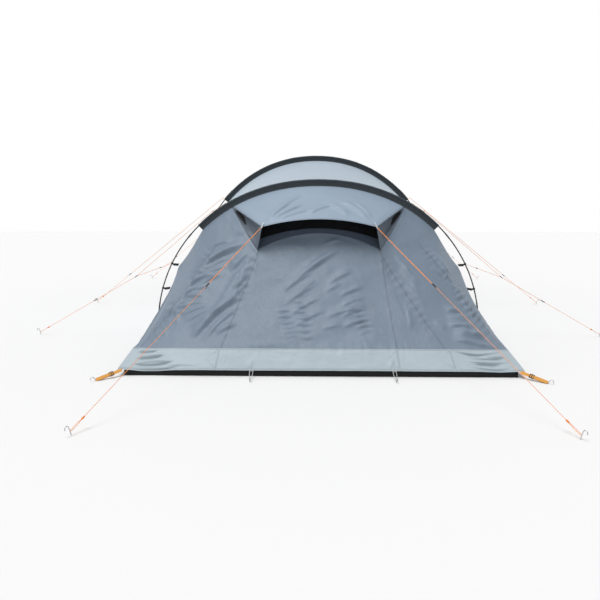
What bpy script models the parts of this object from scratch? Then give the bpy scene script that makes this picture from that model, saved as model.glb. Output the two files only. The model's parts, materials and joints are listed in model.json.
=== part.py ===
"""A three-hoop tunnel tent: rear bedroom end at -Y, front door at +Y, metres, +Z up.

The origin is on the ground under the middle of the tent.
"""

import math

import bmesh
import bpy
from mathutils import Vector

# Hoops, from the rear: place along the tent, height, and the arch that they share.
HOOP_Y = (-1.26, 0.18, 2.10)
HOOP_HEIGHT = (1.385, 1.70, 1.68)
HOOP_HALF_WIDTH = 1.46
HOOP_SHAPE = 2.1
HOOP_STEPS = 36
ROD_RADIUS = 0.0055
ROD_FOOT_Z = 0.003

# Fly sheet, hung inside the hoops.
FLY_INSET = 0.062
CLOTH = 0.0015
SEAM_GAP = 0.0015
HEM_Z = 0.045
REAR_Y, FRONT_Y = -2.35, 2.35
REAR_CORNER_Z, FRONT_CORNER_Z = 0.45, 0.30
HEM_BAND = 0.16
BAY_SAG = 0.03

# Rear vent under its hood.
VENT_TIP_X = 0.75
VENT_CORNER_X, VENT_CORNER_Z = 0.485, 0.82
VENT_MID_Z = 0.985
HOOD_CORNER = (0.45, -1.72, 1.01)
HOOD_ARCH_RISE = 0.06
HOOD_STANDOFF = 0.006
MESH_INSET = 0.009

# Front door.
DOOR_HALF_WIDTH = 0.42
DOOR_TOP, DOOR_BOTTOM = 0.11, 0.965
DOOR_GAP = 0.003
ZIP_SLIDER = (0.014, 0.006, 0.030)
ZIP_SLIDER_Z = 0.12

# Floor and bedroom.
TRAY_HEIGHT, TRAY_WALL, TRAY_INSET = 0.040, 0.003, 0.013
INNER_HALF_WIDTH, INNER_HEIGHT = 1.30, (1.22, 1.50)
INNER_FRONT_Y, INNER_REAR_Y = 0.06, -2.20
INNER_FLOOR_Z = 0.006
INNER_DOOR_HALF_WIDTH, INNER_DOOR_HEIGHT, INNER_DOOR_SILL = 0.62, 1.22, 0.12

# Pole sleeves and clips, placed by their step along the hoop.
SLEEVE_STEP = 9
SLEEVE_BORE, SLEEVE_SKIN, SLEEVE_DEPTH = 0.0085, 0.0115, 0.057
CLIP_STEPS = {"lower": 3.5, "upper": 5.5}
CLIP_BORE, CLIP_SKIN, CLIP_WIDTH = 0.0068, 0.0098, 0.016

# Guy lines, their tensioners and pegs.
GUY_RADIUS = 0.0015
TENSIONER_BORE, TENSIONER_SKIN, TENSIONER_LENGTH = 0.0030, 0.0075, 0.042
PEG_RADIUS, PEG_HEIGHT = 0.0025, 0.050
GUY_END_Z = 0.028
V_JOIN_GAP = 0.014
GUYS = {
    # name: (points from the upper end to the last one above the ground, peg on the ground,
    # tensioner's place along the last straight stretch). The rear guys are Vs: their lower
    # leg joins them at the second point.
    "guy_vent": (((0.455, -1.732, 1.005),), (1.33, -3.26), 0.37),
    "guy_rear": (((0.914, -1.26, 1.133), (1.63, -1.26, 0.545)), (2.55, -1.26), 0.42),
    "guy_middle": (((1.07, 0.18, 1.245),), (2.62, 0.18), 0.735),
    "guy_front": (((1.07, 2.10, 1.228),), (2.55, 2.10), 0.735),
}
STRAP_START, STRAP_END = (1.408, 2.358, 0.040), (1.535, 2.452, 0.005)
STRAP_WIDTH, STRAP_THICK = 0.025, 0.002

COLOURS = {
    # name: (red, green, blue, roughness, metallic)
    "fly": (0.23, 0.29, 0.36, 0.6, 0.0),
    "fly_light": (0.40, 0.48, 0.55, 0.6, 0.0),
    "hem": (0.46, 0.55, 0.60, 0.6, 0.0),
    "sleeve": (0.06, 0.09, 0.105, 0.7, 0.0),
    "groundsheet": (0.01, 0.01, 0.011, 0.5, 0.0),
    "mesh": (0.01, 0.011, 0.014, 0.8, 0.0),
    "inner": (0.75, 0.74, 0.70, 0.8, 0.0),
    "rod": (0.02, 0.02, 0.022, 0.35, 0.0),
    "plastic": (0.03, 0.03, 0.03, 0.45, 0.0),
    "guy": (0.85, 0.33, 0.09, 0.7, 0.0),
    "webbing": (0.80, 0.38, 0.07, 0.7, 0.0),
    "steel": (0.55, 0.55, 0.56, 0.35, 1.0),
}


def clear_scene():
    for obj in list(bpy.data.objects):
        bpy.data.objects.remove(obj, do_unlink=True)


def material(kind):
    found = bpy.data.materials.get(kind)
    if found:
        return found
    red, green, blue, roughness, metallic = COLOURS[kind]
    made = bpy.data.materials.new(kind)
    made.use_nodes = True
    shader = made.node_tree.nodes["Principled BSDF"]
    shader.inputs["Base Color"].default_value = (red, green, blue, 1.0)
    shader.inputs["Roughness"].default_value = roughness
    shader.inputs["Metallic"].default_value = metallic
    return made


def add_object(name, data, kind):
    obj = bpy.data.objects.new(name, data)
    bpy.context.scene.collection.objects.link(obj)
    data.materials.append(material(kind))
    return obj


def set_origin(obj, point):
    """Moves a mesh object's origin to the point and leaves its shape where it is."""
    obj.data.transform(obj.matrix_world.Translation(-Vector(point)))
    obj.location = point


# ---- curves that the tent is drawn from ------------------------------------------


def arch(angle, half_width, height):
    """(x, z) on a flattened arch; the angle runs from the right foot, 0, to the left, pi."""
    power = 2 / HOOP_SHAPE
    across, up = math.cos(angle), math.sin(angle)
    return half_width * math.copysign(abs(across) ** power, across), height * abs(up) ** power


def angle_at_height(z, height):
    return math.asin((z / height) ** (HOOP_SHAPE / 2))


def angle_at_x(x, half_width):
    return math.acos((x / half_width) ** (HOOP_SHAPE / 2))


def fly_arch(hoop, angle):
    x, z = arch(angle, HOOP_HALF_WIDTH - FLY_INSET, HOOP_HEIGHT[hoop] - FLY_INSET)
    return Vector((x, HOOP_Y[hoop], z))


def steps_between(stops, counts):
    """Angles through the stops, with the given number of equal steps between neighbours."""
    angles = [stops[0]]
    for low, high, count in zip(stops, stops[1:], counts):
        angles += [low + (high - low) * step / count for step in range(1, count + 1)]
    return angles


def mirrored(angles):
    """A list that ends at the top of the arch, continued down the other side."""
    return angles + [math.pi - angle for angle in reversed(angles[:-1])]


class EndWall:
    """A sheet stretched from the arch of one hoop down to a hem on the ground.

    Above the corner height the arch is joined to the straight hem across the end, and
    below it to the hem along the side, so that the wall has a flat triangle each side.
    """

    def __init__(self, top_y, half_width, height, end_y, bottom_z, corner_z):
        self.top_y, self.half_width, self.height = top_y, half_width, height
        self.end_y, self.bottom_z, self.corner_z = end_y, bottom_z, corner_z
        self.foot = angle_at_height(bottom_z, height)
        self.corner = angle_at_height(corner_z, height)
        self.foot_x = arch(self.foot, half_width, height)[0]
        self.corner_x = arch(self.corner, half_width, height)[0]

    def top(self, angle):
        x, z = arch(angle, self.half_width, self.height)
        return Vector((x, self.top_y, z))

    def bottom(self, angle):
        top = self.top(angle)
        if top.z >= self.corner_z - 1e-9:
            return Vector((top.x * self.foot_x / self.corner_x, self.end_y, self.bottom_z))
        out = (top.z - self.bottom_z) / (self.corner_z - self.bottom_z)
        y = self.top_y + (self.end_y - self.top_y) * out
        return Vector((math.copysign(self.foot_x, top.x), y, self.bottom_z))

    def point(self, angle, down):
        return self.top(angle).lerp(self.bottom(angle), down)


def fly_wall(hoop, end_y, corner_z):
    toward_end = math.copysign(SEAM_GAP, end_y)
    return EndWall(
        HOOP_Y[hoop] + toward_end,
        HOOP_HALF_WIDTH - FLY_INSET,
        HOOP_HEIGHT[hoop] - FLY_INSET,
        end_y,
        HEM_Z,
        corner_z,
    )


# ---- solids ----------------------------------------------------------------------


def mesh_object(name, kind, points, faces):
    mesh = bpy.data.meshes.new(name)
    mesh.from_pydata([tuple(point) for point in points], [], faces)
    mesh.validate()
    work = bmesh.new()
    work.from_mesh(mesh)
    bmesh.ops.remove_doubles(work, verts=work.verts, dist=1e-5)
    bmesh.ops.dissolve_degenerate(work, edges=work.edges, dist=1e-6)
    bmesh.ops.recalc_face_normals(work, faces=work.faces)
    work.to_mesh(mesh)
    work.free()
    return add_object(name, mesh, kind)


def grid_faces(columns, rows, first=0, holes=()):
    """Quads of a grid whose points run down one column after another."""
    return [
        (
            first + column * rows + row,
            first + (column + 1) * rows + row,
            first + (column + 1) * rows + row + 1,
            first + column * rows + row + 1,
        )
        for column in range(columns - 1)
        for row in range(rows - 1)
        if (column, row) not in holes
    ]


def thicken(obj, offset=0.0):
    made = obj.modifiers.new("cloth", "SOLIDIFY")
    made.thickness = CLOTH
    made.offset = offset
    obj.data.shade_smooth()
    return obj


def cloth_sheet(name, kind, columns, holes=()):
    rows = len(columns[0])
    points = [point for column in columns for point in column]
    return thicken(mesh_object(name, kind, points, grid_faces(len(columns), rows, 0, holes)))


def ring_sweep(name, kind, frames, outer, inner):
    """A tube swept through frames (origin, up, side); outer and inner are (up, side) loops."""
    size, points, faces = len(outer), [], []
    for origin, up, side in frames:
        points += [origin + up * a + side * b for a, b in outer + inner]
    for station in range(len(frames) - 1):
        here, there = station * 2 * size, (station + 1) * 2 * size
        for loop in (0, size):
            for k in range(size):
                a, b = loop + k, loop + (k + 1) % size
                faces.append((here + a, here + b, there + b, there + a))
    for base in (0, (len(frames) - 1) * 2 * size):
        for k in range(size):
            a, b = k, (k + 1) % size
            faces.append((base + a, base + b, base + size + b, base + size + a))
    return mesh_object(name, kind, points, faces)


def prism(name, kind, outline, origin, up, side, along, width):
    """An (up, side) outline extruded by the width, half each way along the third direction."""
    size = len(outline)
    points = [
        origin + up * a + side * b + along * half
        for half in (-width / 2, width / 2)
        for a, b in outline
    ]
    faces = [tuple(range(size)), tuple(range(2 * size - 1, size - 1, -1))]
    faces += [(k, (k + 1) % size, (k + 1) % size + size, k + size) for k in range(size)]
    return mesh_object(name, kind, points, faces)


def tube(name, kind, points, radius, bevel_resolution=2):
    curve = bpy.data.curves.new(name, "CURVE")
    curve.dimensions = "3D"
    curve.bevel_depth = radius
    curve.bevel_resolution = bevel_resolution
    curve.use_fill_caps = True
    spline = curve.splines.new("POLY")
    spline.points.add(len(points) - 1)
    for slot, point in zip(spline.points, points):
        slot.co = (*point, 1.0)
    return add_object(name, curve, kind)


def circle(radius, degrees):
    """(up, side) points at the given angles, where 90 degrees is up."""
    turned = [math.radians(angle) for angle in degrees]
    return [(radius * math.sin(angle), radius * math.cos(angle)) for angle in turned]


# ---- fly sheet -------------------------------------------------------------------

REAR = fly_wall(0, REAR_Y, REAR_CORNER_Z)
FRONT = fly_wall(2, FRONT_Y, FRONT_CORNER_Z)
VENT_TIP = angle_at_x(VENT_TIP_X, REAR.half_width)
VENT_CORNER = angle_at_x(VENT_CORNER_X, REAR.half_width)


def vent_edge_down(angle):
    """How far down the rear wall, 0 to 1, the vent's lower edge lies."""
    top = REAR.top(angle)
    x = abs(top.x)
    if x >= VENT_TIP_X:
        return 0.0
    if x > VENT_CORNER_X:
        tip_z = REAR.top(VENT_TIP).z
        along = (VENT_TIP_X - x) / (VENT_TIP_X - VENT_CORNER_X)
        z = tip_z + (VENT_CORNER_Z - tip_z) * along
    else:
        rise = math.sqrt(max(0.0, 1 - (x / VENT_CORNER_X) ** 4))
        z = VENT_CORNER_Z + (VENT_MID_Z - VENT_CORNER_Z) * rise
    return max(0.0, (top.z - z) / (top.z - HEM_Z))


def hem_band_down(angle):
    slope = (REAR.bottom(angle) - REAR.top(angle)).length
    return 1 - HEM_BAND / slope


def even(low, high, count):
    return [low + (high - low) * step / count for step in range(count + 1)]


def build_rear_wall():
    rows = 6
    middle = mirrored(
        steps_between((REAR.corner, VENT_TIP, VENT_CORNER, math.pi / 2), (5, 3, 4))
    )
    columns = []
    for angle in middle:
        downs = even(vent_edge_down(angle), hem_band_down(angle), rows)
        columns.append([REAR.point(angle, down) for down in downs])
    sides = []
    for angle in steps_between((REAR.foot, REAR.corner), (4,)):
        downs = even(0.0, hem_band_down(REAR.corner), rows) + [1.0]
        sides.append([REAR.point(angle, down) for down in downs])
    points = [point for column in columns for point in column]
    faces = grid_faces(len(columns), rows + 1)
    for mirror in (1, -1):
        first = len(points)
        points += [Vector((mirror * p.x, p.y, p.z)) for column in sides for p in column]
        faces += grid_faces(len(sides), rows + 2, first)
    thicken(mesh_object("rear_wall", "fly", points, faces))


def build_rear_hem():
    angles = mirrored(steps_between((REAR.corner, math.pi / 2), (8,)))
    columns = []
    for angle in angles:
        gap = SEAM_GAP / HEM_BAND * (1 - hem_band_down(angle)) * 2
        downs = even(hem_band_down(angle) + gap, 1.0, 1)
        columns.append([REAR.point(angle, down) for down in downs])
    clear = 2 * SEAM_GAP
    for column, side in ((columns[0], -clear), (columns[-1], clear)):
        for point in column:
            point.x += side
    cloth_sheet("rear_hem", "hem", columns)


def build_vent_mesh():
    inside = EndWall(
        REAR.top_y + MESH_INSET / 2,
        REAR.half_width - MESH_INSET,
        REAR.height - MESH_INSET,
        REAR_Y + MESH_INSET,
        HEM_Z,
        REAR_CORNER_Z,
    )
    angles = mirrored(steps_between((VENT_TIP, VENT_CORNER, math.pi / 2), (3, 4)))[1:-1]
    overlap = 0.03
    columns = [
        [inside.point(angle, down) for down in even(0.0, vent_edge_down(angle) + overlap, 2)]
        for angle in angles
    ]
    cloth_sheet("vent_mesh", "mesh", columns)


def hood_edge(across):
    """A point of the hood's free edge; across runs from 1 at the right corner to -1."""
    x, y, z = HOOD_CORNER
    return Vector((x * across, y, z + HOOD_ARCH_RISE * (1 - across**2)))


def build_vent_hood():
    columns_across, rows = 14, 4
    inset = math.radians(0.4)
    start = VENT_TIP + inset
    points = []
    for step in range(columns_across + 1):
        across = 1 - 2 * step / columns_across
        top = REAR.top(math.pi / 2 + (start - math.pi / 2) * across)
        points += [top.lerp(hood_edge(across), down) for down in even(0, 1, rows)]
    faces = grid_faces(columns_across + 1, rows + 1)
    side = [REAR.top(start).lerp(hood_edge(1), down) for down in even(0, 1, rows)]
    edge = [side[0]]
    for angle in even(VENT_TIP, VENT_CORNER, rows)[1:]:
        on_wall = REAR.point(angle, vent_edge_down(angle))
        edge.append(on_wall + Vector((0, -HOOD_STANDOFF, 0)))
    for mirror in (1, -1):
        first = len(points)
        for inward in even(0, 1, 2):
            column = [a.lerp(b, inward) for a, b in zip(side, edge)]
            points += [Vector((mirror * p.x, p.y, p.z)) for p in column]
        faces += grid_faces(3, rows + 1, first)
    thicken(mesh_object("vent_hood", "fly", points, faces))


def build_bay(name, kind, hoop):
    """The stretch of fly between one hoop and the next, drawn in a little between them."""
    rows, columns = 4, []
    angles = [FLY_FOOT + (math.pi - 2 * FLY_FOOT) * k / 24 for k in range(25)]
    for angle in angles:
        start, end = fly_arch(hoop, angle), fly_arch(hoop + 1, angle)
        start.y += SEAM_GAP
        end.y -= SEAM_GAP
        inward = -Vector((math.cos(angle), 0, math.sin(angle)))
        column = []
        for along in even(0, 1, rows):
            sag = BAY_SAG * 4 * along * (1 - along) * math.sin(angle)
            point = start.lerp(end, along) + inward * sag
            point.z = max(point.z, HEM_Z)
            column.append(point)
        columns.append(column)
    cloth_sheet(name, kind, columns)


FLY_FOOT = angle_at_height(HEM_Z, HOOP_HEIGHT[0] - FLY_INSET)
DOOR_ANGLE = angle_at_x(DOOR_HALF_WIDTH, FRONT.half_width)


def build_front_wall():
    angles = mirrored(
        steps_between((FRONT.foot, FRONT.corner, DOOR_ANGLE, math.pi / 2), (2, 6, 4))
    )
    downs = [0.0, DOOR_TOP] + even(DOOR_TOP, DOOR_BOTTOM, 4)[1:] + [1.0]
    first, last = angles.index(DOOR_ANGLE), len(angles) - 1 - angles.index(DOOR_ANGLE)
    holes = {(column, row) for column in range(first, last) for row in range(1, 5)}
    columns = [[FRONT.point(angle, down) for down in downs] for angle in angles]
    cloth_sheet("front_wall", "fly", columns, holes)


def door_hinge():
    """Two points on the door's sewn edge, at its bottom and its top."""
    left = math.pi - DOOR_ANGLE
    return FRONT.point(left, DOOR_BOTTOM), FRONT.point(left, DOOR_TOP)


def build_front_door():
    margin = DOOR_GAP / DOOR_HALF_WIDTH
    tall = DOOR_GAP / (FRONT.bottom(DOOR_ANGLE) - FRONT.top(DOOR_ANGLE)).length
    columns = []
    for angle in mirrored(steps_between((DOOR_ANGLE, math.pi / 2), (4,))):
        column = []
        for down in even(DOOR_TOP + tall, DOOR_BOTTOM - tall, 4):
            point = FRONT.point(angle, down)
            point.x *= 1 - margin
            column.append(point)
        columns.append(column)
    set_origin(cloth_sheet("front_door", "fly", columns), door_hinge()[0])


def build_zip_slider():
    """It runs up the wall beside the door's free edge, which lies along one straight line."""
    bottom, top = FRONT.point(DOOR_ANGLE, DOOR_BOTTOM), FRONT.point(DOOR_ANGLE, DOOR_TOP)
    up = (top - bottom).normalized()
    side = Vector((1, 0, 0))
    out = side.cross(up)
    out = out if out.y > 0 else -out
    origin = bottom + up * ZIP_SLIDER_Z + side * ZIP_SLIDER[0] + out * ZIP_SLIDER[1]
    half_w, half_t = ZIP_SLIDER[0] / 2, ZIP_SLIDER[1] / 2
    outline = [(half_t, half_w), (half_t, -half_w), (-half_t, -half_w), (-half_t, half_w)]
    obj = prism("door_zip_slider", "plastic", outline, origin, out, side, up, ZIP_SLIDER[2])
    set_origin(obj, origin)


# ---- floor and bedroom -----------------------------------------------------------


def build_groundsheet():
    half, end = REAR.foot_x - TRAY_INSET, FRONT_Y - TRAY_INSET
    loops = [
        (half, end, 0.0),
        (half, end, TRAY_HEIGHT),
        (half - TRAY_WALL, end - TRAY_WALL, TRAY_HEIGHT),
        (half - TRAY_WALL, end - TRAY_WALL, TRAY_WALL),
    ]
    points, faces = [], [(3, 2, 1, 0), (12, 13, 14, 15)]
    for x, y, z in loops:
        points += [Vector(p) for p in ((-x, -y, z), (x, -y, z), (x, y, z), (-x, y, z))]
    for ring in range(3):
        for k in range(4):
            a, b = ring * 4 + k, ring * 4 + (k + 1) % 4
            faces.append((a, b, b + 4, a + 4))
    mesh_object("groundsheet", "groundsheet", points, faces)


def build_inner_tent():
    """The bedroom: roof and sides, a sloping rear, a floor, and a front with a doorway."""
    back = EndWall(
        HOOP_Y[0] + 0.04,
        INNER_HALF_WIDTH,
        INNER_HEIGHT[0],
        INNER_REAR_Y,
        INNER_FLOOR_Z,
        REAR_CORNER_Z,
    )
    angles = mirrored(steps_between((back.foot, back.corner, math.pi / 2), (3, 7)))
    rows = [0.0, 0.5]
    points = []
    for angle in angles:
        x, z = arch(angle, INNER_HALF_WIDTH, INNER_HEIGHT[1])
        front = Vector((x, INNER_FRONT_Y, max(z, INNER_FLOOR_Z)))
        if angle in (angles[0], angles[-1]):
            front.z = INNER_FLOOR_Z
        points += [front.lerp(back.top(angle), along) for along in rows]
        points += [back.point(angle, down) for down in even(0, 1, 3)]
    count, depth = len(angles), len(rows) + 4
    faces = grid_faces(count, depth)
    left = (count - 1) * depth
    side_right, side_left = [0, 1, 2], [left + 2, left + 1, left]
    rear = [column * depth + depth - 1 for column in range(1, count - 1)]
    faces.append(tuple(side_right + rear + side_left))
    first = len(points)
    for angle in angles:
        share = (angle - angles[0]) / (angles[-1] - angles[0])
        x, z = arch(math.pi * share, INNER_DOOR_HALF_WIDTH, INNER_DOOR_HEIGHT)
        points.append(Vector((x, INNER_FRONT_Y, INNER_DOOR_SILL + z)))
    for k in range(count):
        after = (k + 1) % count
        faces.append((k * depth, first + k, first + after, after * depth))
    thicken(mesh_object("inner_tent", "inner", points, faces), -1.0)


# ---- poles, sleeves and clips ----------------------------------------------------


def hoop_point(hoop, step):
    """A point on the pole's own polyline; the step may lie between two of its corners."""
    low = min(int(step), HOOP_STEPS - 1)
    ends = []
    for corner in (low, low + 1):
        angle = math.pi * corner / HOOP_STEPS
        x, z = arch(angle, HOOP_HALF_WIDTH, HOOP_HEIGHT[hoop])
        ends.append(Vector((x, HOOP_Y[hoop], max(z, ROD_FOOT_Z))))
    return ends[0].lerp(ends[1], step - low)


def hoop_frame(hoop, step):
    """(origin, outward, along the tent) at a step of the hoop."""
    reach = 0.5
    tangent = hoop_point(hoop, step + reach) - hoop_point(hoop, step - reach)
    outward = Vector((tangent.z, 0, -tangent.x)).normalized()
    if outward.z < 0:
        outward.negate()
    return hoop_point(hoop, step), outward, Vector((0, 1, 0))


def build_hoop(place, hoop):
    points = [hoop_point(hoop, step) for step in range(HOOP_STEPS + 1)]
    tube(f"hoop_pole_{place}", "rod", points, ROD_RADIUS, bevel_resolution=1)


def build_sleeve(place, hoop):
    frames = [
        hoop_frame(hoop, step) for step in range(SLEEVE_STEP, HOOP_STEPS - SLEEVE_STEP + 1)
    ]
    around = (0, 60, 120, 180)
    outer = circle(SLEEVE_SKIN, around) + [(-SLEEVE_DEPTH, -0.0015), (-SLEEVE_DEPTH, 0.0015)]
    inner = circle(SLEEVE_BORE, around + (240, 300))
    obj = ring_sweep(f"pole_sleeve_{place}", "sleeve", frames, outer, inner)
    obj.data.shade_smooth()


def clip_outline():
    """An open hook round the pole with a strap that runs in to the fly."""
    ring = list(range(40, 341, 50))
    outer, inner = circle(CLIP_SKIN, ring), circle(CLIP_BORE, reversed(ring))
    strap = [(-SLEEVE_DEPTH, -0.004), (-SLEEVE_DEPTH, 0.004)]
    return outer[:5] + strap + outer[5:] + inner


def build_clip(name, hoop, step, mirror):
    origin, outward, along = hoop_frame(hoop, step)
    if mirror < 0:
        origin = Vector((-origin.x, origin.y, origin.z))
        outward = Vector((-outward.x, outward.y, outward.z))
    tangent = outward.cross(along)
    prism(name, "plastic", clip_outline(), origin, outward, along, tangent, CLIP_WIDTH)


# ---- guys, pegs and straps -------------------------------------------------------


def on_side(point, mirror):
    return Vector((mirror * point[0], *point[1:]))


def build_tensioner(name, place, direction):
    side = direction.cross(Vector((0, 0, 1))).normalized()
    up = side.cross(direction)
    around = (0, 60, 120, 180, 240, 300)
    half = direction * TENSIONER_LENGTH / 2
    frames = [(place - half, up, side), (place + half, up, side)]
    outer, inner = circle(TENSIONER_SKIN, around), circle(TENSIONER_BORE, around)
    set_origin(ring_sweep(name, "plastic", frames, outer, inner), place)


def build_peg(name, ground, away):
    """The part of the peg that stands out of the ground: a leaning shaft with a hooked end."""
    up = Vector((0, 0, 1))
    base = ground + up * 0.004
    shaft = base + away * 0.012 + up * PEG_HEIGHT
    hook = [shaft + away * 0.010 + up * 0.006, shaft + away * 0.020, shaft + away * 0.022 - up * 0.014]
    tube(name, "steel", [base, shaft] + hook, PEG_RADIUS, bevel_resolution=1)


def build_guy(name, mirror, route, peg, share):
    side = "right" if mirror > 0 else "left"
    held, ground = [on_side(p, mirror) for p in route], Vector((mirror * peg[0], peg[1], 0))
    away = Vector((ground.x - held[0].x, ground.y - held[0].y, 0)).normalized()
    lower = ground - away * 0.003 + Vector((0, 0, GUY_END_Z))
    tube(f"{name}_{side}", "guy", held + [lower], GUY_RADIUS)
    place, direction = held[-1].lerp(lower, share), (lower - held[-1]).normalized()
    build_tensioner(f"{name}_tensioner_{side}", place, direction)
    build_peg(f"{name}_peg_{side}", ground, away)


def build_v_strand(mirror):
    """The lower leg of the rear guy's V, from the upper clip to the guy."""
    side = "right" if mirror > 0 else "left"
    meet = on_side(GUYS["guy_rear"][0][1], mirror)
    clip, _, _ = hoop_frame(0, CLIP_STEPS["upper"])
    clip.x *= mirror
    run = (meet - clip).normalized()
    ends = [clip + run * 0.016, meet - run * V_JOIN_GAP]
    tube(f"guy_rear_lower_strand_{side}", "guy", ends, GUY_RADIUS)


def build_corner_strap(place, side, mirror_x, mirror_y):
    start, end = (
        Vector((mirror_x * x, mirror_y * y, z)) for x, y, z in (STRAP_START, STRAP_END)
    )
    along = (end - start).normalized()
    across = along.cross(Vector((0, 0, 1))).normalized()
    up = across.cross(along)
    half_w, half_t = STRAP_WIDTH / 2, STRAP_THICK / 2
    outline = [(half_t, half_w), (half_t, -half_w), (-half_t, -half_w), (-half_t, half_w)]
    length = (end - start).length
    middle = (start + end) / 2
    prism(f"corner_strap_{place}_{side}", "webbing", outline, middle, up, across, along, length)


def build_tent():
    clear_scene()
    build_rear_wall()
    build_rear_hem()
    build_vent_mesh()
    build_vent_hood()
    build_bay("fly_rear_bay", "fly_light", 0)
    build_bay("fly_front_bay", "fly", 1)
    build_front_wall()
    build_front_door()
    build_zip_slider()
    build_groundsheet()
    build_inner_tent()
    for hoop, place in enumerate(("rear", "middle", "front")):
        build_hoop(place, hoop)
        build_sleeve(place, hoop)
        for level, step in CLIP_STEPS.items():
            build_clip(f"clip_{place}_{level}_right", hoop, step, 1)
            build_clip(f"clip_{place}_{level}_left", hoop, step, -1)
    for mirror, side in ((1, "right"), (-1, "left")):
        for name, (route, peg, share) in GUYS.items():
            build_guy(name, mirror, route, peg, share)
        build_v_strand(mirror)
        build_corner_strap("rear", side, mirror, -1)
        build_corner_strap("front", side, mirror, 1)


build_tent()
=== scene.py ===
import json
import math

import bmesh
import bpy
import numpy as np
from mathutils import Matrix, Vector

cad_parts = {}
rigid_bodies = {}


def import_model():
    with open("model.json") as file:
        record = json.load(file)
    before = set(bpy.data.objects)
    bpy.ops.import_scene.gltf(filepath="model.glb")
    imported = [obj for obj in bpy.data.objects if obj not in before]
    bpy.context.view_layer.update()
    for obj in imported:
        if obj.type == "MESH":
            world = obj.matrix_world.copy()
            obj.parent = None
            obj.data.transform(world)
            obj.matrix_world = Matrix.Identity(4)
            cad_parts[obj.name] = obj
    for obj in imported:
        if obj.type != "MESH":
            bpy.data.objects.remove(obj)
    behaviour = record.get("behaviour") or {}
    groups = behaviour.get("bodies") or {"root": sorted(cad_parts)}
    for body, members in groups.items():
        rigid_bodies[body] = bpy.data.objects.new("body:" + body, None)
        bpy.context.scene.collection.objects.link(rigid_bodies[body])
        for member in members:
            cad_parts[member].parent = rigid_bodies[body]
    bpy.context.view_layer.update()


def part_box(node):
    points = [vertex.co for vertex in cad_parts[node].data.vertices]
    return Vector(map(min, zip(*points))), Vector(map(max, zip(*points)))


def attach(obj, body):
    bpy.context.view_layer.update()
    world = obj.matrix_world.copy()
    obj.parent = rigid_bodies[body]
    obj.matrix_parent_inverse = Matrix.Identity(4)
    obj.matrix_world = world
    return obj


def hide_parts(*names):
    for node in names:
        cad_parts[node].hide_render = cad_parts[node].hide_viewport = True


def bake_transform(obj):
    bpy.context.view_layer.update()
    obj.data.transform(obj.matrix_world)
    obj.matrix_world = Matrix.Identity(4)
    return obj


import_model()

# A three-hoop tunnel tent in the CAD model's frame: rear end at -Y, metres, +Z up.
# Every cloth is a grid drawn on the same arches and ruled end walls as the CAD model,
# raised into folds along its normals, and given a thickness.

SIDES = ((1, "right"), (-1, "left"))
PLACES = ("rear", "middle", "front")
BODY = "tent"

# Shape of the hoops and the fly, as in the CAD model.
ROD_RADIUS = 0.0055
HOOP_SHAPE = 2.1
HOOP_STEPS = 36
FLY_INSET, FRONT_INSET = 0.048, 0.062
SLEEVE_LAP = 0.016
SEAM_GAP = 0.0015
HEM_Z = 0.045
REAR_CORNER_Z, FRONT_CORNER_Z = 0.45, 0.30
HEM_BAND, HEM_SEAM_Y, HEM_SEAM_Z, HEM_PLANE_DIP = 0.16, -2.247, 0.167, 0.252
CORNER_PULL = 0.016
BAY_SAG = 0.03
CLOTH = 0.0008
FAR_FROM_SEAM = 1.0
SLEEVE_STEP = 9
SLEEVE_BORE, SLEEVE_SKIN, SLEEVE_DEPTH, SLEEVE_REACH = 0.0078, 0.0098, 0.057, 0.069
SLEEVE_TUBE = 23
CLIP_STEPS = {"lower": 3.5, "upper": 5.5}
GUY_RADIUS = 0.0015

HOOPS = [tuple(Vector(corner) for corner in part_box(f"hoop_pole_{place}")) for place in PLACES]
HOOP_Y = [(low.y + high.y) / 2 for low, high in HOOPS]
HOOP_HEIGHT = [high.z - ROD_RADIUS for low, high in HOOPS]
HOOP_HALF_WIDTH = HOOPS[0][1].x - ROD_RADIUS
ROD_FOOT_Z = 0.003
REAR_Y, FRONT_Y = -2.35, 2.35

# Rear vent and its hood.
VENT_TIP_X = 0.75
VENT_CORNER_X, VENT_CORNER_Z, VENT_MID_Z = 0.485, 0.82, 0.985
HOOD_CORNER = (0.45, -1.72, 1.01)
HOOD_ARCH_RISE = 0.06
HOOD_STANDOFF = 0.006

# Front door and bedroom.
DOOR_HALF_WIDTH = 0.42
DOOR_TOP, DOOR_BOTTOM = 0.11, 0.965
DOOR_GAP = 0.003
INNER_HALF_WIDTH, INNER_HEIGHT = 1.30, (1.22, 1.50)
INNER_FRONT_Y, INNER_REAR_Y = 0.06, -2.20
INNER_FLOOR_Z = 0.006
INNER_DOOR_HALF_WIDTH, INNER_DOOR_HEIGHT, INNER_DOOR_SILL = 0.62, 1.22, 0.12


# ---- camera, light and floor -----------------------------------------------------


def make_camera():
    data = bpy.data.cameras.new("camera")
    data.lens, data.sensor_width = 30.0, 36.0
    camera = bpy.data.objects.new("camera", data)
    camera.location = (-0.081, -5.685, 1.217)
    pitch, yaw = math.radians(11.3), 0.0175
    camera.rotation_euler = (math.pi / 2 - pitch, 0.0, yaw)
    bpy.context.scene.collection.objects.link(camera)
    bpy.context.scene.camera = camera


def soft_lamp(name, towards, strength, spread_degrees):
    """A lamp at infinity, as wide as a soft box seen from the object."""
    data = bpy.data.lights.new(name, "SUN")
    data.energy, data.angle = strength, math.radians(spread_degrees)
    lamp = bpy.data.objects.new(name, data)
    lamp.rotation_euler = Vector(towards).to_track_quat("-Z", "Y").to_euler()
    bpy.context.scene.collection.objects.link(lamp)


def set_range(node, limits):
    """The limits of a Map Range node: from low, from high, to low, to high."""
    for key, number in zip(("From Min", "From Max", "To Min", "To Max"), limits):
        node.inputs[key].default_value = number


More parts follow.
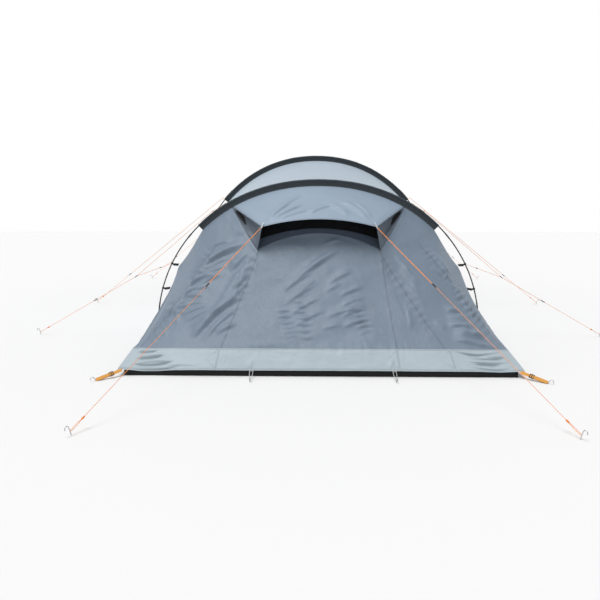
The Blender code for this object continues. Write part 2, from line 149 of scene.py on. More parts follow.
def make_world():
    """A white surround up to eye height, dimmer overhead and behind the camera, so that folds show."""
    world = bpy.data.worlds.new("studio")
    world.use_nodes = True
    bpy.context.scene.world = world
    tree = world.node_tree
    coords = tree.nodes.new("ShaderNodeTexCoord")
    split = tree.nodes.new("ShaderNodeSeparateXYZ")
    tree.links.new(coords.outputs["Generated"], split.inputs[0])
    product = tree.nodes.new("ShaderNodeMath")
    product.operation = "MULTIPLY"
    overhead, behind = (0.35, 0.55, 1.0, 0.46), (-0.6, 0.1, 0.74, 1.0)
    for socket, axis, limits in zip(product.inputs, "ZY", (overhead, behind)):
        ramp = tree.nodes.new("ShaderNodeMapRange")
        set_range(ramp, limits)
        tree.links.new(split.outputs[axis], ramp.inputs["Value"])
        tree.links.new(ramp.outputs["Result"], socket)
    tree.links.new(product.outputs[0], tree.nodes["Background"].inputs["Strength"])
    tree.nodes["Background"].inputs["Color"].default_value = (1.0, 1.0, 1.0, 1.0)


def make_floor():
    half = 14.0
    mesh = bpy.data.meshes.new("studio_floor")
    corners = [(-half, -half, 0), (half, -half, 0), (half, half, 0), (-half, half, 0)]
    mesh.from_pydata(corners, [], [(0, 1, 2, 3)])
    material = bpy.data.materials.new("studio_floor")
    material.use_nodes = True
    shader = material.node_tree.nodes["Principled BSDF"]
    shader.inputs["Base Color"].default_value = (0.74, 0.74, 0.74, 1.0)
    shader.inputs["Roughness"].default_value = 0.9
    shader.inputs["Specular IOR Level"].default_value = 0.2
    mesh.materials.append(material)
    obj = bpy.data.objects.new("studio_floor", mesh)
    bpy.context.scene.collection.objects.link(obj)


# ---- materials -------------------------------------------------------------------


class Nodes:
    """Short calls for building one material's node tree."""

    def __init__(self, name, colour, roughness, metallic=0.0):
        self.material = bpy.data.materials.new(name)
        self.material.use_nodes = True
        self.tree = self.material.node_tree
        self.shader = self.tree.nodes["Principled BSDF"]
        self.colour = (*colour, 1.0)
        self.shader.inputs["Base Color"].default_value = self.colour
        self.shader.inputs["Roughness"].default_value = roughness
        self.shader.inputs["Metallic"].default_value = metallic

    def add(self, kind, **settings):
        node = self.tree.nodes.new(kind)
        for key, value in settings.items():
            setattr(node, key, value)
        return node

    def link(self, source, target):
        self.tree.links.new(source, target)

    def value(self, operation, first, second=0.0, third=None):
        """One Math node; each input is a number or another node's output."""
        node = self.add("ShaderNodeMath", operation=operation)
        for socket, given in zip(node.inputs, (first, second, third)):
            if given is None:
                continue
            if isinstance(given, (int, float)):
                socket.default_value = given
            else:
                self.link(given, socket)
        return node.outputs[0]

    def uv(self, layer):
        """The two coordinates of a named UV map, in metres, and the vector itself."""
        node = self.add("ShaderNodeUVMap", uv_map=layer)
        split = self.add("ShaderNodeSeparateXYZ")
        self.link(node.outputs[0], split.inputs[0])
        return split.outputs["X"], split.outputs["Y"], node.outputs[0]

    def objects(self):
        return self.add("ShaderNodeTexCoord").outputs["Object"]

    def noise(self, vector, scale, detail=2.0, stretch=(1, 1, 1), distortion=0.0):
        mapping = self.add("ShaderNodeMapping")
        mapping.inputs["Scale"].default_value = stretch
        self.link(vector, mapping.inputs["Vector"])
        node = self.add("ShaderNodeTexNoise")
        node.inputs["Scale"].default_value = scale
        node.inputs["Detail"].default_value = detail
        node.inputs["Distortion"].default_value = distortion
        self.link(mapping.outputs[0], node.inputs["Vector"])
        return node.outputs["Fac"]

    def ranged(self, value, low, high, to_low, to_high):
        node = self.add("ShaderNodeMapRange")
        self.link(value, node.inputs["Value"])
        set_range(node, (low, high, to_low, to_high))
        return node.outputs["Result"]

    def wave(self, coordinate, pitch):
        """A sine wave along a coordinate in metres."""
        return self.value("SINE", self.value("MULTIPLY", coordinate, 2 * math.pi / pitch))

    def shaded(self, factor):
        """The base colour multiplied by a factor that varies over the surface."""
        node = self.add("ShaderNodeVectorMath", operation="SCALE")
        node.inputs[0].default_value = self.colour[:3]
        self.link(factor, node.inputs["Scale"])
        self.link(node.outputs[0], self.shader.inputs["Base Color"])

    def bump(self, height, distance, strength=1.0):
        node = self.add("ShaderNodeBump")
        node.inputs["Distance"].default_value = distance
        node.inputs["Strength"].default_value = strength
        self.link(height, node.inputs["Height"])
        self.link(node.outputs[0], self.shader.inputs["Normal"])

    def roughness(self, value):
        self.link(value, self.shader.inputs["Roughness"])


def fabric(name, colour, roughness=0.55, thread=0.0009, crumple=1.0, mottle=0.05):
    """Coated polyester: plain weave, thread streaks, fine crumples, and lockstitched seams.

    The UV map "cloth" runs along the threads in metres. The map "seam" holds the distance
    along the nearest seam and the distance from it.
    """
    made = Nodes(name, colour, roughness)
    across, down, flat = made.uv("cloth")
    along, off, _ = made.uv("seam")
    weave = made.value("MULTIPLY", made.wave(across, thread), made.wave(down, thread))
    streaks = made.noise(flat, 1.0, 3.0, (18, 420, 1))
    cross_streaks = made.noise(flat, 1.0, 3.0, (420, 18, 1))
    cloud = made.noise(flat, 2.2, 3.0)
    # Seam: a doubled strip 12 mm wide with two rows of stitches, 3 mm either side of its middle.
    distance = made.value("ABSOLUTE", off)
    strip = made.ranged(distance, 0.0055, 0.0065, 1.0, 0.0)
    row = made.value("ABSOLUTE", made.value("SUBTRACT", distance, 0.003))
    dashes = made.value("GREATER_THAN", made.wave(along, 0.0045), -0.5)
    stitch = made.value("MULTIPLY", made.ranged(row, 0.0004, 0.0009, 1.0, 0.0), dashes)
    tint = made.value("MULTIPLY_ADD", made.value("ADD", streaks, cross_streaks), mottle, 1.0 - mottle)
    for factor in (
        made.ranged(cloud, 0.3, 0.7, 1.0 - mottle, 1.0 + mottle),
        made.value("MULTIPLY_ADD", weave, 0.03, 1.0),
        made.ranged(strip, 0.0, 1.0, 1.0, 0.90),
        made.ranged(stitch, 0.0, 1.0, 1.0, 0.55),
    ):
        tint = made.value("MULTIPLY", tint, factor)
    made.shaded(tint)
    fine = made.noise(flat, 38.0, 3.0, distortion=0.8)
    height = made.value("MULTIPLY", made.noise(flat, 9.0, 3.0, distortion=1.2), 1.3 * crumple)
    for layer, weight in ((fine, 0.35 * crumple), (weave, 0.02), (strip, 0.35), (stitch, 0.12)):
        height = made.value("MULTIPLY_ADD", layer, weight, height)
    made.bump(height, 0.002)
    made.roughness(made.ranged(made.noise(flat, 60.0), 0.3, 0.7, roughness - 0.06, roughness + 0.06))
    made.shader.inputs["Sheen Weight"].default_value = 0.06
    made.shader.inputs["Sheen Roughness"].default_value = 0.4
    return made.material


def net(name, colour):
    """Fine insect mesh: a black knit with small six-sided holes, drawn as darker cells whose darkness is
    painted shade seen through them.
    """
    made = Nodes(name, colour, 0.8)
    _, _, flat = made.uv("cloth")
    cells = made.add("ShaderNodeTexVoronoi", feature="DISTANCE_TO_EDGE")
    cells.inputs["Scale"].default_value = 600.0
    cells.inputs["Randomness"].default_value = 0.15
    made.link(flat, cells.inputs["Vector"])
    # the holes darker than the threads: painted shade behind them
    threads = made.ranged(cells.outputs["Distance"], 0.02, 0.25, 1.0, 0.25)
    # darker and lighter patches of painted shade that stand for the net's folds
    folds = made.noise(flat, 5.0, 2.0)
    made.shaded(made.value("MULTIPLY", threads, made.ranged(folds, 0.3, 0.7, 0.6, 1.4)))
    made.bump(threads, 0.0004)
    return made.material


def webbing(name, colour):
    """Woven tape: a herringbone of thick threads, with ribbed edges."""
    made = Nodes(name, colour, 0.7)
    across, down, flat = made.uv("cloth")
    rib = made.wave(across, 0.0016)
    zigzag = made.value("ABSOLUTE", made.wave(across, 0.0084))
    twill = made.wave(made.value("MULTIPLY_ADD", zigzag, 0.004, down), 0.0021)
    height = made.value("MULTIPLY_ADD", rib, 0.5, twill)
    fuzz = made.ranged(made.noise(flat, 900.0), 0.3, 0.7, 0.82, 1.12)
    # The colour follows the weave's height, lighter on the threads and darker in the grooves: painted shade.
    made.shaded(made.value("MULTIPLY_ADD", height, 0.07, fuzz))
    made.bump(height, 0.0003)
    made.shader.inputs["Sheen Weight"].default_value = 0.2
    return made.material


def cord_cover(name, colour):
    """Braided cord: two crossing sets of strands, and a pale reflective fleck among them."""
    made = Nodes(name, colour, 0.65)
    around, along, flat = made.uv("cloth")
    one, other = (made.wave(made.value(way, around, along), 0.0024) for way in ("ADD", "SUBTRACT"))
    braid = made.value("MAXIMUM", one, other)
    fleck = made.value("GREATER_THAN", made.wave(along, 0.019), 0.93)
    # The strands' crests are lighter and the grooves between them darker: painted shade.
    tone = made.value("MULTIPLY_ADD", braid, 0.14, made.ranged(made.noise(flat, 300.0), 0.3, 0.7, 0.85, 1.1))
    made.shaded(made.value("MULTIPLY_ADD", fleck, 0.5, tone))
    made.bump(braid, 0.0003)
    return made.material


def moulded(name, colour, roughness=0.45):
    """Moulded plastic with a fine spark-eroded grain and scuffed, paler high spots."""
    made = Nodes(name, colour, roughness)
    place = made.objects()
    dust = made.noise(place, 35.0, 4.0)
    pores = made.noise(place, 900.0, 2.0)
    made.shaded(made.ranged(dust, 0.35, 0.75, 0.85, 1.3))
    made.roughness(made.ranged(dust, 0.3, 0.7, roughness - 0.07, roughness + 0.1))
    made.bump(pores, 0.0002)
    return made.material


def metal(name, colour):
    """Drawn metal: fine lines along it and small dull patches."""
    made = Nodes(name, colour, 0.35, 1.0)
    place = made.objects()
    lines = made.noise(place, 6.0, 3.0, (60, 60, 900))
    dull = made.noise(place, 25.0, 4.0)
    made.shaded(made.ranged(dull, 0.3, 0.8, 1.05, 0.8))
    made.roughness(made.ranged(lines, 0.3, 0.7, 0.27, 0.47))
    made.bump(lines, 0.0001)
    return made.material


def rod_finish(name, colour):
    """Black fibreglass: a smooth resin coat over long, faintly visible fibres."""
    made = Nodes(name, colour, 0.32)
    _, _, flat = made.uv("cloth")
    fibres = made.noise(flat, 1.0, 3.0, (900, 6, 1))
    made.shaded(made.ranged(fibres, 0.3, 0.7, 0.7, 1.5))
    made.roughness(made.ranged(fibres, 0.3, 0.7, 0.27, 0.42))
    made.bump(fibres, 0.0001)
    made.shader.inputs["Coat Weight"].default_value = 0.25
    return made.material


def groundsheet_finish(name, colour):
    """Woven polyethylene: a coarse tape weave under a waxy coat."""
    made = Nodes(name, colour, 0.5)
    across, down, flat = made.uv("cloth")
    weave = made.value("MULTIPLY", made.wave(across, 0.004), made.wave(down, 0.004))
    crumple = made.noise(flat, 12.0, 4.0, distortion=1.0)
    # Darker in the crumples' hollows and lighter on their crests: painted shade.
    made.shaded(made.ranged(crumple, 0.3, 0.7, 0.8, 1.3))
    made.bump(made.value("MULTIPLY_ADD", weave, 0.05, crumple), 0.003)
    made.roughness(made.ranged(crumple, 0.3, 0.7, 0.5, 0.7))
    made.shader.inputs["Specular IOR Level"].default_value = 0.25
    return made.material


def make_materials():
    return {
        "fly": fabric("fly_polyester", (0.148, 0.194, 0.252)),
        # the fly cloth lightened as painted light: the hood faces up into the top light
        "hood": fabric("hood_painted_light", (0.240, 0.310, 0.390), crumple=0.7),
        # partly a paler cloth, partly painted light: the top light on the roof and light shining through it
        "fly_light": fabric("roof_polyester_painted_light", (0.355, 0.425, 0.490), crumple=0.6, mottle=0.03),
        "hem": fabric("hem_polyester", (0.345, 0.410, 0.450), roughness=0.6),
        "sleeve": fabric("sleeve_polyester", (0.030, 0.041, 0.049), roughness=0.65, thread=0.0012),
        # the fly cloth darkened as painted shade: the hood's shadow falling on the vent flap
        "flap": fabric("vent_flap_painted_shade", (0.070, 0.092, 0.130), roughness=0.6),
        # the fly cloth darkened as painted shade: the gussets lie in the hood's shadow
        "gusset": fabric("gusset_painted_shade", (0.085, 0.110, 0.142), roughness=0.6),
        "inner": fabric("inner_polyester", (0.60, 0.59, 0.56), roughness=0.75, crumple=1.3, mottle=0.02),
        "net": net("insect_mesh", (0.006, 0.0065, 0.009)),
        "groundsheet": groundsheet_finish("groundsheet_weave", (0.009, 0.009, 0.0095)),
        "rod": rod_finish("fibreglass_rod", (0.018, 0.018, 0.020)),
        "plastic": moulded("black_plastic", (0.022, 0.022, 0.024)),
        "toggle": moulded("orange_plastic", (0.72, 0.20, 0.03), roughness=0.5),
        "guy": cord_cover("guy_cord", (0.85, 0.30, 0.08)),
        "orange_webbing": webbing("orange_webbing", (0.78, 0.36, 0.06)),
        "black_webbing": webbing("black_webbing", (0.018, 0.018, 0.020)),
        "grey_elastic": cord_cover("grey_elastic", (0.50, 0.51, 0.52)),
        "steel": metal("peg_steel", (0.55, 0.55, 0.56)),
        "zip": moulded("zip_coil", (0.035, 0.038, 0.042), roughness=0.4),
    }


# ---- meshes ----------------------------------------------------------------------


def link_object(name, data):
    obj = bpy.data.objects.new(name, data)
    bpy.context.scene.collection.objects.link(obj)
    return obj


def settle(obj, kind, body=BODY, replaces=()):
    """Gives a piece its material and its body, and hides the CAD nodes it stands for."""
    obj.data.materials.append(MATERIALS[kind])
    if body:
        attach(obj, body)
    if replaces:
        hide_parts(*replaces)
    return obj


def make_mesh(name, points, faces, uv, seam=None, solid=True):
    """A mesh with its two UV maps; a solid gets its faces turned outward."""
    mesh = bpy.data.meshes.new(name)
    mesh.from_pydata(np.asarray(points, float).tolist(), [], faces)
    if solid:
        work = bmesh.new()
        work.from_mesh(mesh)
        bmesh.ops.recalc_face_normals(work, faces=work.faces)
        work.to_mesh(mesh)
        work.free()
    if seam is None:
        seam = np.full((len(points), 2), FAR_FROM_SEAM)
    corners = np.empty(len(mesh.loops), dtype=np.int32)
    mesh.loops.foreach_get("vertex_index", corners)
    for layer, values in (("cloth", uv), ("seam", seam)):
        made = mesh.uv_layers.new(name=layer)
        made.data.foreach_set("uv", np.asarray(values, np.float32)[corners].ravel())
    mesh.shade_smooth()
    return mesh


def solid_object(name, points, faces, uv, kind, body=BODY, replaces=(), seam=None):
    mesh = make_mesh(name, points, faces, uv, seam)
    return settle(link_object(name, mesh), kind, body, replaces)


def joined(grids, holes=()):
    """One mesh from grids of (points, extra) arrays; points that coincide become one."""
    points = np.concatenate([grid.reshape(-1, 3) for grid, _ in grids])
    extra = np.concatenate([more.reshape(len(grid.reshape(-1, 3)), -1) for grid, more in grids])
    quads, first = [], 0
    for index, (grid, _) in enumerate(grids):
        columns, rows = grid.shape[:2]
        numbers = first + np.arange(columns * rows).reshape(columns, rows)
        quad = np.stack([numbers[:-1, :-1], numbers[1:, :-1], numbers[1:, 1:], numbers[:-1, 1:]], axis=-1)
        if index < len(holes) and holes[index] is not None:
            quad = quad[~holes[index]]
        quads.append(quad.reshape(-1, 4))
        first += columns * rows
    quads = np.concatenate(quads)
    _, kept, where = np.unique(np.round(points, 5), axis=0, return_index=True, return_inverse=True)
    quads = where.reshape(-1)[quads]
    return points[kept], extra[kept], quads


def tidy_faces(points, quads):
    """Drops repeated corners and empty faces, and the points that no face uses."""
    faces = []
    for quad in quads.tolist():
        face = [corner for k, corner in enumerate(quad) if corner != quad[k - 1]]
        if len(set(face)) >= 3:
            faces.append(face)
    used = np.zeros(len(points), bool)
    used[[corner for face in faces for corner in face]] = True
    renumber = np.cumsum(used) - 1
    return used, [[int(renumber[corner]) for corner in face] for face in faces]


def point_normals(points, quads, inside):
    """Unit normals at the points, pointing away from the inside point."""
    a, b, c, d = (points[quads[:, k]] for k in range(4))
    flat = np.cross(c - a, d - b)
    middle = (a + b + c + d) / 4
    if np.sum(flat * (middle - np.asarray(inside))) < 0:
        flat, quads = -flat, quads[:, ::-1]
    total = np.zeros_like(points)
    for k in range(4):
        np.add.at(total, quads[:, k], flat)
    size = np.linalg.norm(total, axis=1, keepdims=True)
    return total / np.maximum(size, 1e-12), quads


def arc_lengths(grid):
    """Distances along the two directions of a grid, in metres, as UV coordinates."""
    across = np.linalg.norm(np.diff(grid, axis=0), axis=2).mean(axis=1)
    down = np.linalg.norm(np.diff(grid, axis=1), axis=2)
    u = np.concatenate([[0.0], np.cumsum(across)])
    v = np.concatenate([np.zeros((len(grid), 1)), np.cumsum(down, axis=1)], axis=1)
    return np.stack([np.broadcast_to(u[:, None], v.shape), v], axis=-1)


def tags(shape, *values):
    """Values spread over a grid of the given shape, one layer for each."""
    return np.stack([np.broadcast_to(value, shape) for value in values], axis=-1)


def cloth_object(name, grids, kind, height=None, seams=None, holes=(), inside=(0, 0, 0.4),
                 thick=CLOTH, body=BODY, replaces=()):
    """A sheet from grids of (points, extra); height(points, extra) raises it along its normals.

    seams(points, extra) gives the distance along and off the nearest seam for each point.
    """
    tagged = []
    for grid, extra in grids:
        extra = np.zeros((*grid.shape[:2], 1)) if extra is None else extra
        tagged.append((grid, np.concatenate([arc_lengths(grid), extra], axis=2)))
    points, extra, quads = joined(tagged, holes)
    normals, quads = point_normals(points, quads, inside)
    uv, extra = extra[:, :2], extra[:, 2:]
    seam = seams(points, extra) if seams else np.full((len(points), 2), FAR_FROM_SEAM)
    if height is not None:
        points = points + normals * height(points, extra)[:, None]
    used, faces = tidy_faces(points, quads)
    mesh = make_mesh(name, points[used], faces, uv[used], seam[used], solid=False)
    obj = link_object(name, mesh)
    solid = obj.modifiers.new("thickness", "SOLIDIFY")
    solid.thickness, solid.offset = thick, -1.0
    return settle(obj, kind, body, replaces)


def ring_faces(rings, size, closed_ends=True):
    """Faces of a skin through rings of points, with flat ends."""
    faces = []
    for ring in range(rings - 1):
        for k in range(size):
            a, b = ring * size + k, ring * size + (k + 1) % size
            faces.append((a, b, b + size, a + size))
    if closed_ends:
        faces.append(tuple(range(size - 1, -1, -1)))
        faces.append(tuple(range((rings - 1) * size, rings * size)))
    return faces


def unit(vector):
    vector = np.asarray(vector, float)
    return vector / np.linalg.norm(vector)


def rounded(value, power):
    """A cosine or sine bent towards a square's; a lower power gives squarer corners."""
    return math.copysign(abs(value) ** power, value)


def distances(path):
    """The distance of each point along a path."""
    return np.concatenate([[0], np.cumsum(np.linalg.norm(np.diff(path, axis=0), axis=1))])


def travelling_frames(path):
    """Tangents and two crosswise directions along a path, turned as little as possible."""
    path = np.asarray(path, float)
    tangents = np.gradient(path, axis=0)
    tangents /= np.linalg.norm(tangents, axis=1, keepdims=True)
    start = np.array([0, 0, 1.0]) if abs(tangents[0][2]) < 0.9 else np.array([1.0, 0, 0])
    side, frames = np.cross(tangents[0], start), []
    for tangent in tangents:
        side = unit(side - tangent * (side @ tangent))
        frames.append((tangent, side, np.cross(side, tangent)))
    return frames


def tube_mesh(name, path, radius, sides=10):
    """A closed round tube; radius is a number, or one for each point of the path."""
    path = np.asarray(path, float)
    radii = np.broadcast_to(radius, len(path))
    turns = np.linspace(0, 2 * math.pi, sides, endpoint=False)
    points, uv = [], []
    for place, size, run, (_, side, up) in zip(path, radii, distances(path), travelling_frames(path)):
        for turn in turns:
            points.append(place + size * (side * math.cos(turn) + up * math.sin(turn)))
            uv.append((turn * size, run))
    return make_mesh(name, points, [face[::-1] for face in ring_faces(len(path), sides)], uv)


def tube_object(name, path, radius, kind, sides=10, body=BODY, replaces=()):
    obj = link_object(name, tube_mesh(name, path, radius, sides))
    return settle(obj, kind, body, replaces)


def ribbon_object(name, path, across, width, thick, kind, replaces=()):
    """A flat tape along a path; across is its width direction. Its edges are rounded."""
    path = np.asarray(path, float)
    across = unit(across)
    outline = [
        (0.5 * rounded(math.cos(turn), 0.35),
         0.5 * rounded(math.sin(turn), 0.8))
        for turn in np.linspace(0, 2 * math.pi, 20, endpoint=False)
    ]
    points, uv = [], []
    for place, tangent, run in zip(path, np.gradient(path, axis=0), distances(path)):
        up = unit(np.cross(across, tangent))
        for a, b in outline:
            points.append(place + across * a * width + up * b * thick)
            uv.append(((a + 0.5) * width, run))
    return solid_object(name, points, ring_faces(len(path), len(outline)), uv, kind,
                        replaces=replaces)


def smooth_path(corners, spacing):
    """A Catmull-Rom curve through the corners, with points about the spacing apart."""
    corners = [np.asarray(corner, float) for corner in corners]
    ends = [2 * corners[0] - corners[1]] + corners + [2 * corners[-1] - corners[-2]]
    path = [corners[0]]
    for a, b, c, d in zip(ends, ends[1:], ends[2:], ends[3:]):
        count = max(2, int(round(np.linalg.norm(c - b) / spacing)))
        for step in range(1, count + 1):
            t = step / count
            path.append(
                0.5 * (2 * b + (c - a) * t + (2 * a - 5 * b + 4 * c - d) * t**2
                       + (3 * b - a - 3 * c + d) * t**3)
            )
    return np.array(path)


def straight_path(corners, spacing):
    """Straight runs through the corners, with points about the spacing apart."""
    corners = [np.asarray(corner, float) for corner in corners]
    path = [corners[0]]
    for a, b in zip(corners, corners[1:]):
        count = max(1, int(round(np.linalg.norm(b - a) / spacing)))
        path += [a + (b - a) * step / count for step in range(1, count + 1)]
    return np.array(path)


# ---- arches and walls ------------------------------------------------------------


def arch(angle, half_width, height):
    """x and z on a flattened arch; the angle runs from the right foot, 0, to the left, pi."""
    power = 2 / HOOP_SHAPE
    across, up = np.cos(angle), np.sin(angle)
    return half_width * np.sign(across) * np.abs(across) ** power, height * np.abs(up) ** power


def angle_at_height(z, height):
    return math.asin((z / height) ** (HOOP_SHAPE / 2))


def angle_at_x(x, half_width):
    return math.acos((x / half_width) ** (HOOP_SHAPE / 2))


def smooth(value):
    value = np.clip(value, 0.0, 1.0)
    return value * value * (3 - 2 * value)


def scallop(angle, lap=0.0):
    """How far the fly's edge is drawn inward between the places where it is held.

    Below its sleeve the fly hangs from two clips on each side, so its edge runs nearly
    straight from one to the next. Beside the sleeve it laps over the flange by the given lap.
    """
    step = math.pi / HOOP_STEPS
    held = (0.03, CLIP_STEPS["lower"] * step, CLIP_STEPS["upper"] * step, SLEEVE_STEP * step)
    depths = (0.020, 0.011, 0.022)
    low_angle = np.minimum(angle, math.pi - angle)
    drawn = np.zeros_like(low_angle)
    for start, end, depth in zip(held, held[1:], depths):
        share = np.clip((low_angle - start) / (end - start), 0, 1)
        drawn = drawn + depth * 4 * share * (1 - share)
    return drawn + lap * smooth((held[-1] - low_angle) / 0.24)


def fly_edge(angle, hoop, y):
    """The fly's edge along a hoop, as points."""
    inset = FLY_INSET + scallop(angle, SLEEVE_LAP)
    x, z = arch(angle, HOOP_HALF_WIDTH - FLY_INSET, HOOP_HEIGHT[hoop] - FLY_INSET)
    inward = inset - FLY_INSET
    x = x - inward * np.cos(angle)
    z = np.maximum(z - inward * np.sin(angle), 0.0)
    return np.stack(np.broadcast_arrays(x, y, z), axis=-1)


class EndWall:
    """A sheet from the arch of a hoop to a straight hem, with a flat triangle each side."""

    def __init__(self, top_y, half_width, height, end_y, bottom_z, corner_z, lap=0.0):
        self.lap = lap
        self.top_y, self.half_width, self.height = top_y, half_width, height
        self.end_y, self.bottom_z, self.corner_z = end_y, bottom_z, corner_z
        self.foot = angle_at_height(bottom_z, height)
        self.corner = angle_at_height(corner_z, height)
        self.foot_x = float(arch(self.foot, half_width, height)[0])
        self.corner_x = float(arch(self.corner, half_width, height)[0])

    def top(self, angle, drawn=True):
        x, z = arch(angle, self.half_width, self.height)
        if drawn:
            inward = scallop(angle, self.lap)
            x, z = x - inward * np.cos(angle), np.maximum(z - inward * np.sin(angle), 0)
        return np.stack(np.broadcast_arrays(x, self.top_y, z), axis=-1)

    def bottom(self, angle):
        x, _, z = np.moveaxis(self.top(angle, drawn=False), -1, 0)
        out = np.clip((z - self.bottom_z) / (self.corner_z - self.bottom_z), 0, 1)
        y = self.top_y + (self.end_y - self.top_y) * out
        low = z < self.corner_z - 1e-9
        bottom_x = np.where(low, np.copysign(self.foot_x, x), x * self.foot_x / self.corner_x)
        return np.stack(np.broadcast_arrays(bottom_x, y, self.bottom_z), axis=-1)

    def point(self, angle, down, drawn=True):
        top, bottom = self.top(angle, drawn), self.bottom(angle)
        return top + (bottom - top) * np.asarray(down)[..., None]


def fly_wall(hoop, end_y, corner_z, inset, lap):
    top_y = HOOP_Y[hoop] + math.copysign(SEAM_GAP, end_y)
    half, height = HOOP_HALF_WIDTH - inset, HOOP_HEIGHT[hoop] - inset
    return EndWall(top_y, half, height, end_y, HEM_Z, corner_z, lap)


REAR = fly_wall(0, REAR_Y, REAR_CORNER_Z, FLY_INSET, SLEEVE_LAP)
FRONT = fly_wall(2, FRONT_Y, FRONT_CORNER_Z, FRONT_INSET, 0.0)
VENT_TIP = angle_at_x(VENT_TIP_X, REAR.half_width)
VENT_CORNER = angle_at_x(VENT_CORNER_X, REAR.half_width)
DOOR_ANGLE = angle_at_x(DOOR_HALF_WIDTH, FRONT.half_width)


def vent_edge_down(angle):
    """How far down the rear wall, 0 to 1, the vent's lower edge lies."""
    top = REAR.top(angle)
    x, top_z = np.abs(top[..., 0]), top[..., 2]
    tip_z = REAR.top(np.array(VENT_TIP))[2]
    along = (VENT_TIP_X - x) / (VENT_TIP_X - VENT_CORNER_X)
    side_z = tip_z + (VENT_CORNER_Z - tip_z) * along
    rise = np.sqrt(np.maximum(0, 1 - (x / VENT_CORNER_X) ** 2))
    middle_z = VENT_CORNER_Z + (VENT_MID_Z - VENT_CORNER_Z) * rise
    z = np.where(x > VENT_CORNER_X, side_z, middle_z)
    down = np.maximum(0, (top_z - z) / np.maximum(top_z - HEM_Z, 1e-6))
    return np.where(x >= VENT_TIP_X, 0.0, down)


def hem_band_down(angle, overlap=0.0):
    """How far down the wall the hem band starts. Its seam lies in one plane, which dips towards the hoop."""
    top, bottom = REAR.top(angle, drawn=False), REAR.bottom(angle)
    y, z = top[..., 1], top[..., 2]
    fall = (z - bottom[..., 2]) + HEM_PLANE_DIP * (y - bottom[..., 1])
    down = (z - HEM_SEAM_Z + HEM_PLANE_DIP * (y - HEM_SEAM_Y)) / fall
    return down - overlap / np.linalg.norm(bottom - top, axis=-1)


def drawn_corners(points):
    """The wall with its two lower corners pulled outward by their straps."""
    near = np.linalg.norm(np.abs(points) - (REAR.foot_x, -REAR_Y, HEM_Z), axis=-1)
    pulled = points.copy()
    pulled[..., 0] += np.sign(points[..., 0]) * CORNER_PULL * smooth(1 - near / 0.30)
    return pulled


def spread(stops, counts):
    """Values through the stops, with the given number of equal steps between neighbours."""
    runs = [np.linspace(a, b, n, endpoint=False) for a, b, n in zip(stops, stops[1:], counts)]
    return np.concatenate(runs + [[stops[-1]]])


def mirrored(angles):
    return np.concatenate([angles, math.pi - angles[-2::-1]])


# ---- folds -----------------------------------------------------------------------


def lattice_noise(u, v, seed):
    """Smooth noise from -1 to 1 over the plane, about one bump for each unit."""
    size = 64
    table = np.random.default_rng(seed).uniform(-1, 1, (size, size))
    column, row = np.floor(u).astype(int), np.floor(v).astype(int)
    a, b = smooth(u - column), smooth(v - row)

    def at(i, j):
        return table[(column + i) % size, (row + j) % size]

    left = at(0, 0) * (1 - b) + at(0, 1) * b
    right = at(1, 0) * (1 - b) + at(1, 1) * b
    return left * (1 - a) + right * a


def beside_line(a, b, start, end):
    """Distances along a line and off it to its left, and the line's length."""
    run = np.subtract(end, start)
    length = np.hypot(*run)
    along = ((a - start[0]) * run[0] + (b - start[1]) * run[1]) / length
    off = ((b - start[1]) * run[0] - (a - start[0]) * run[1]) / length
    return along, off, length


def crease(a, b, start, end, width, height):
    """A pulled fold along a line: steep on its right side, soft on its left, faded at its ends."""
    along, off, length = beside_line(a, b, start, end)
    along = along / length
    off = off - 0.04 * length * (4 * along * (1 - along))
    fade = smooth(along / 0.35) * smooth((1 - along) / 0.35)
    reach = width * np.where(off > 0, 1.7, 0.60)
    return height * fade * np.exp(-((off / reach) ** 2))


def creases(a, b, folds):
    """The sum of the folds in a table of (start, end, width, height)."""
    return sum(crease(a, b, *fold) for fold in folds)


def fan(first, last, count):
    """Lines spread evenly from the first one to the last."""
    first, last = np.asarray(first, float), np.asarray(last, float)
    return [first + (last - first) * step / max(1, count - 1) for step in range(count)]


def puckers(a, b, start, end, spacing, reach, height, lean, seed):
    """A row of short ridges that cross a seam and die out on both sides of it."""
    along, off, length = beside_line(a, b, start, end)
    wander = 0.5 * lattice_noise(along / 0.07, off / 0.10, seed)
    phase = (along + lean * off) / spacing + wander
    strong = 0.55 + 0.45 * lattice_noise(along / 0.09, off / 0.2, seed + 1)
    ends = smooth(along / 0.08) * smooth((length - along) / 0.08)
    return height * ends * strong * np.sin(2 * math.pi * phase) * np.exp(-((off / reach) ** 2))


def stray(a, b, seed, big=0.006, small=0.0011):
    """Slack that every cloth has: slow swells and short faint crumples."""
    swell = lattice_noise(a / 0.42, b / 0.30, seed)
    middle = lattice_noise((a + 0.6 * b) / 0.16, (b - 0.4 * a) / 0.10, seed + 1)
    fine = lattice_noise((a - 0.5 * b) / 0.055, (b + 0.6 * a) / 0.035, seed + 2)
    return big * swell + 0.45 * big * middle + small * fine


def add_seam(found, along, off):
    """Keeps for each point the nearer of the seam found so far and this one."""
    closer = np.abs(off) < np.abs(found[:, 1])
    found[closer] = np.stack(np.broadcast_arrays(along, off), axis=-1)[closer]


def nearest_seam(a, b, lines):
    """Distance along and off the nearest of the straight seams ((a0, b0), (a1, b1))."""
    found = np.full((len(a), 2), FAR_FROM_SEAM)
    for start, end in lines:
        along, off, length = beside_line(a, b, start, end)
        within = (along > -0.02) & (along < length + 0.02)
        add_seam(found, along, np.where(within, off, FAR_FROM_SEAM))
    return found


# ---- rear wall, hem band, vent and hood -------------------------------------------

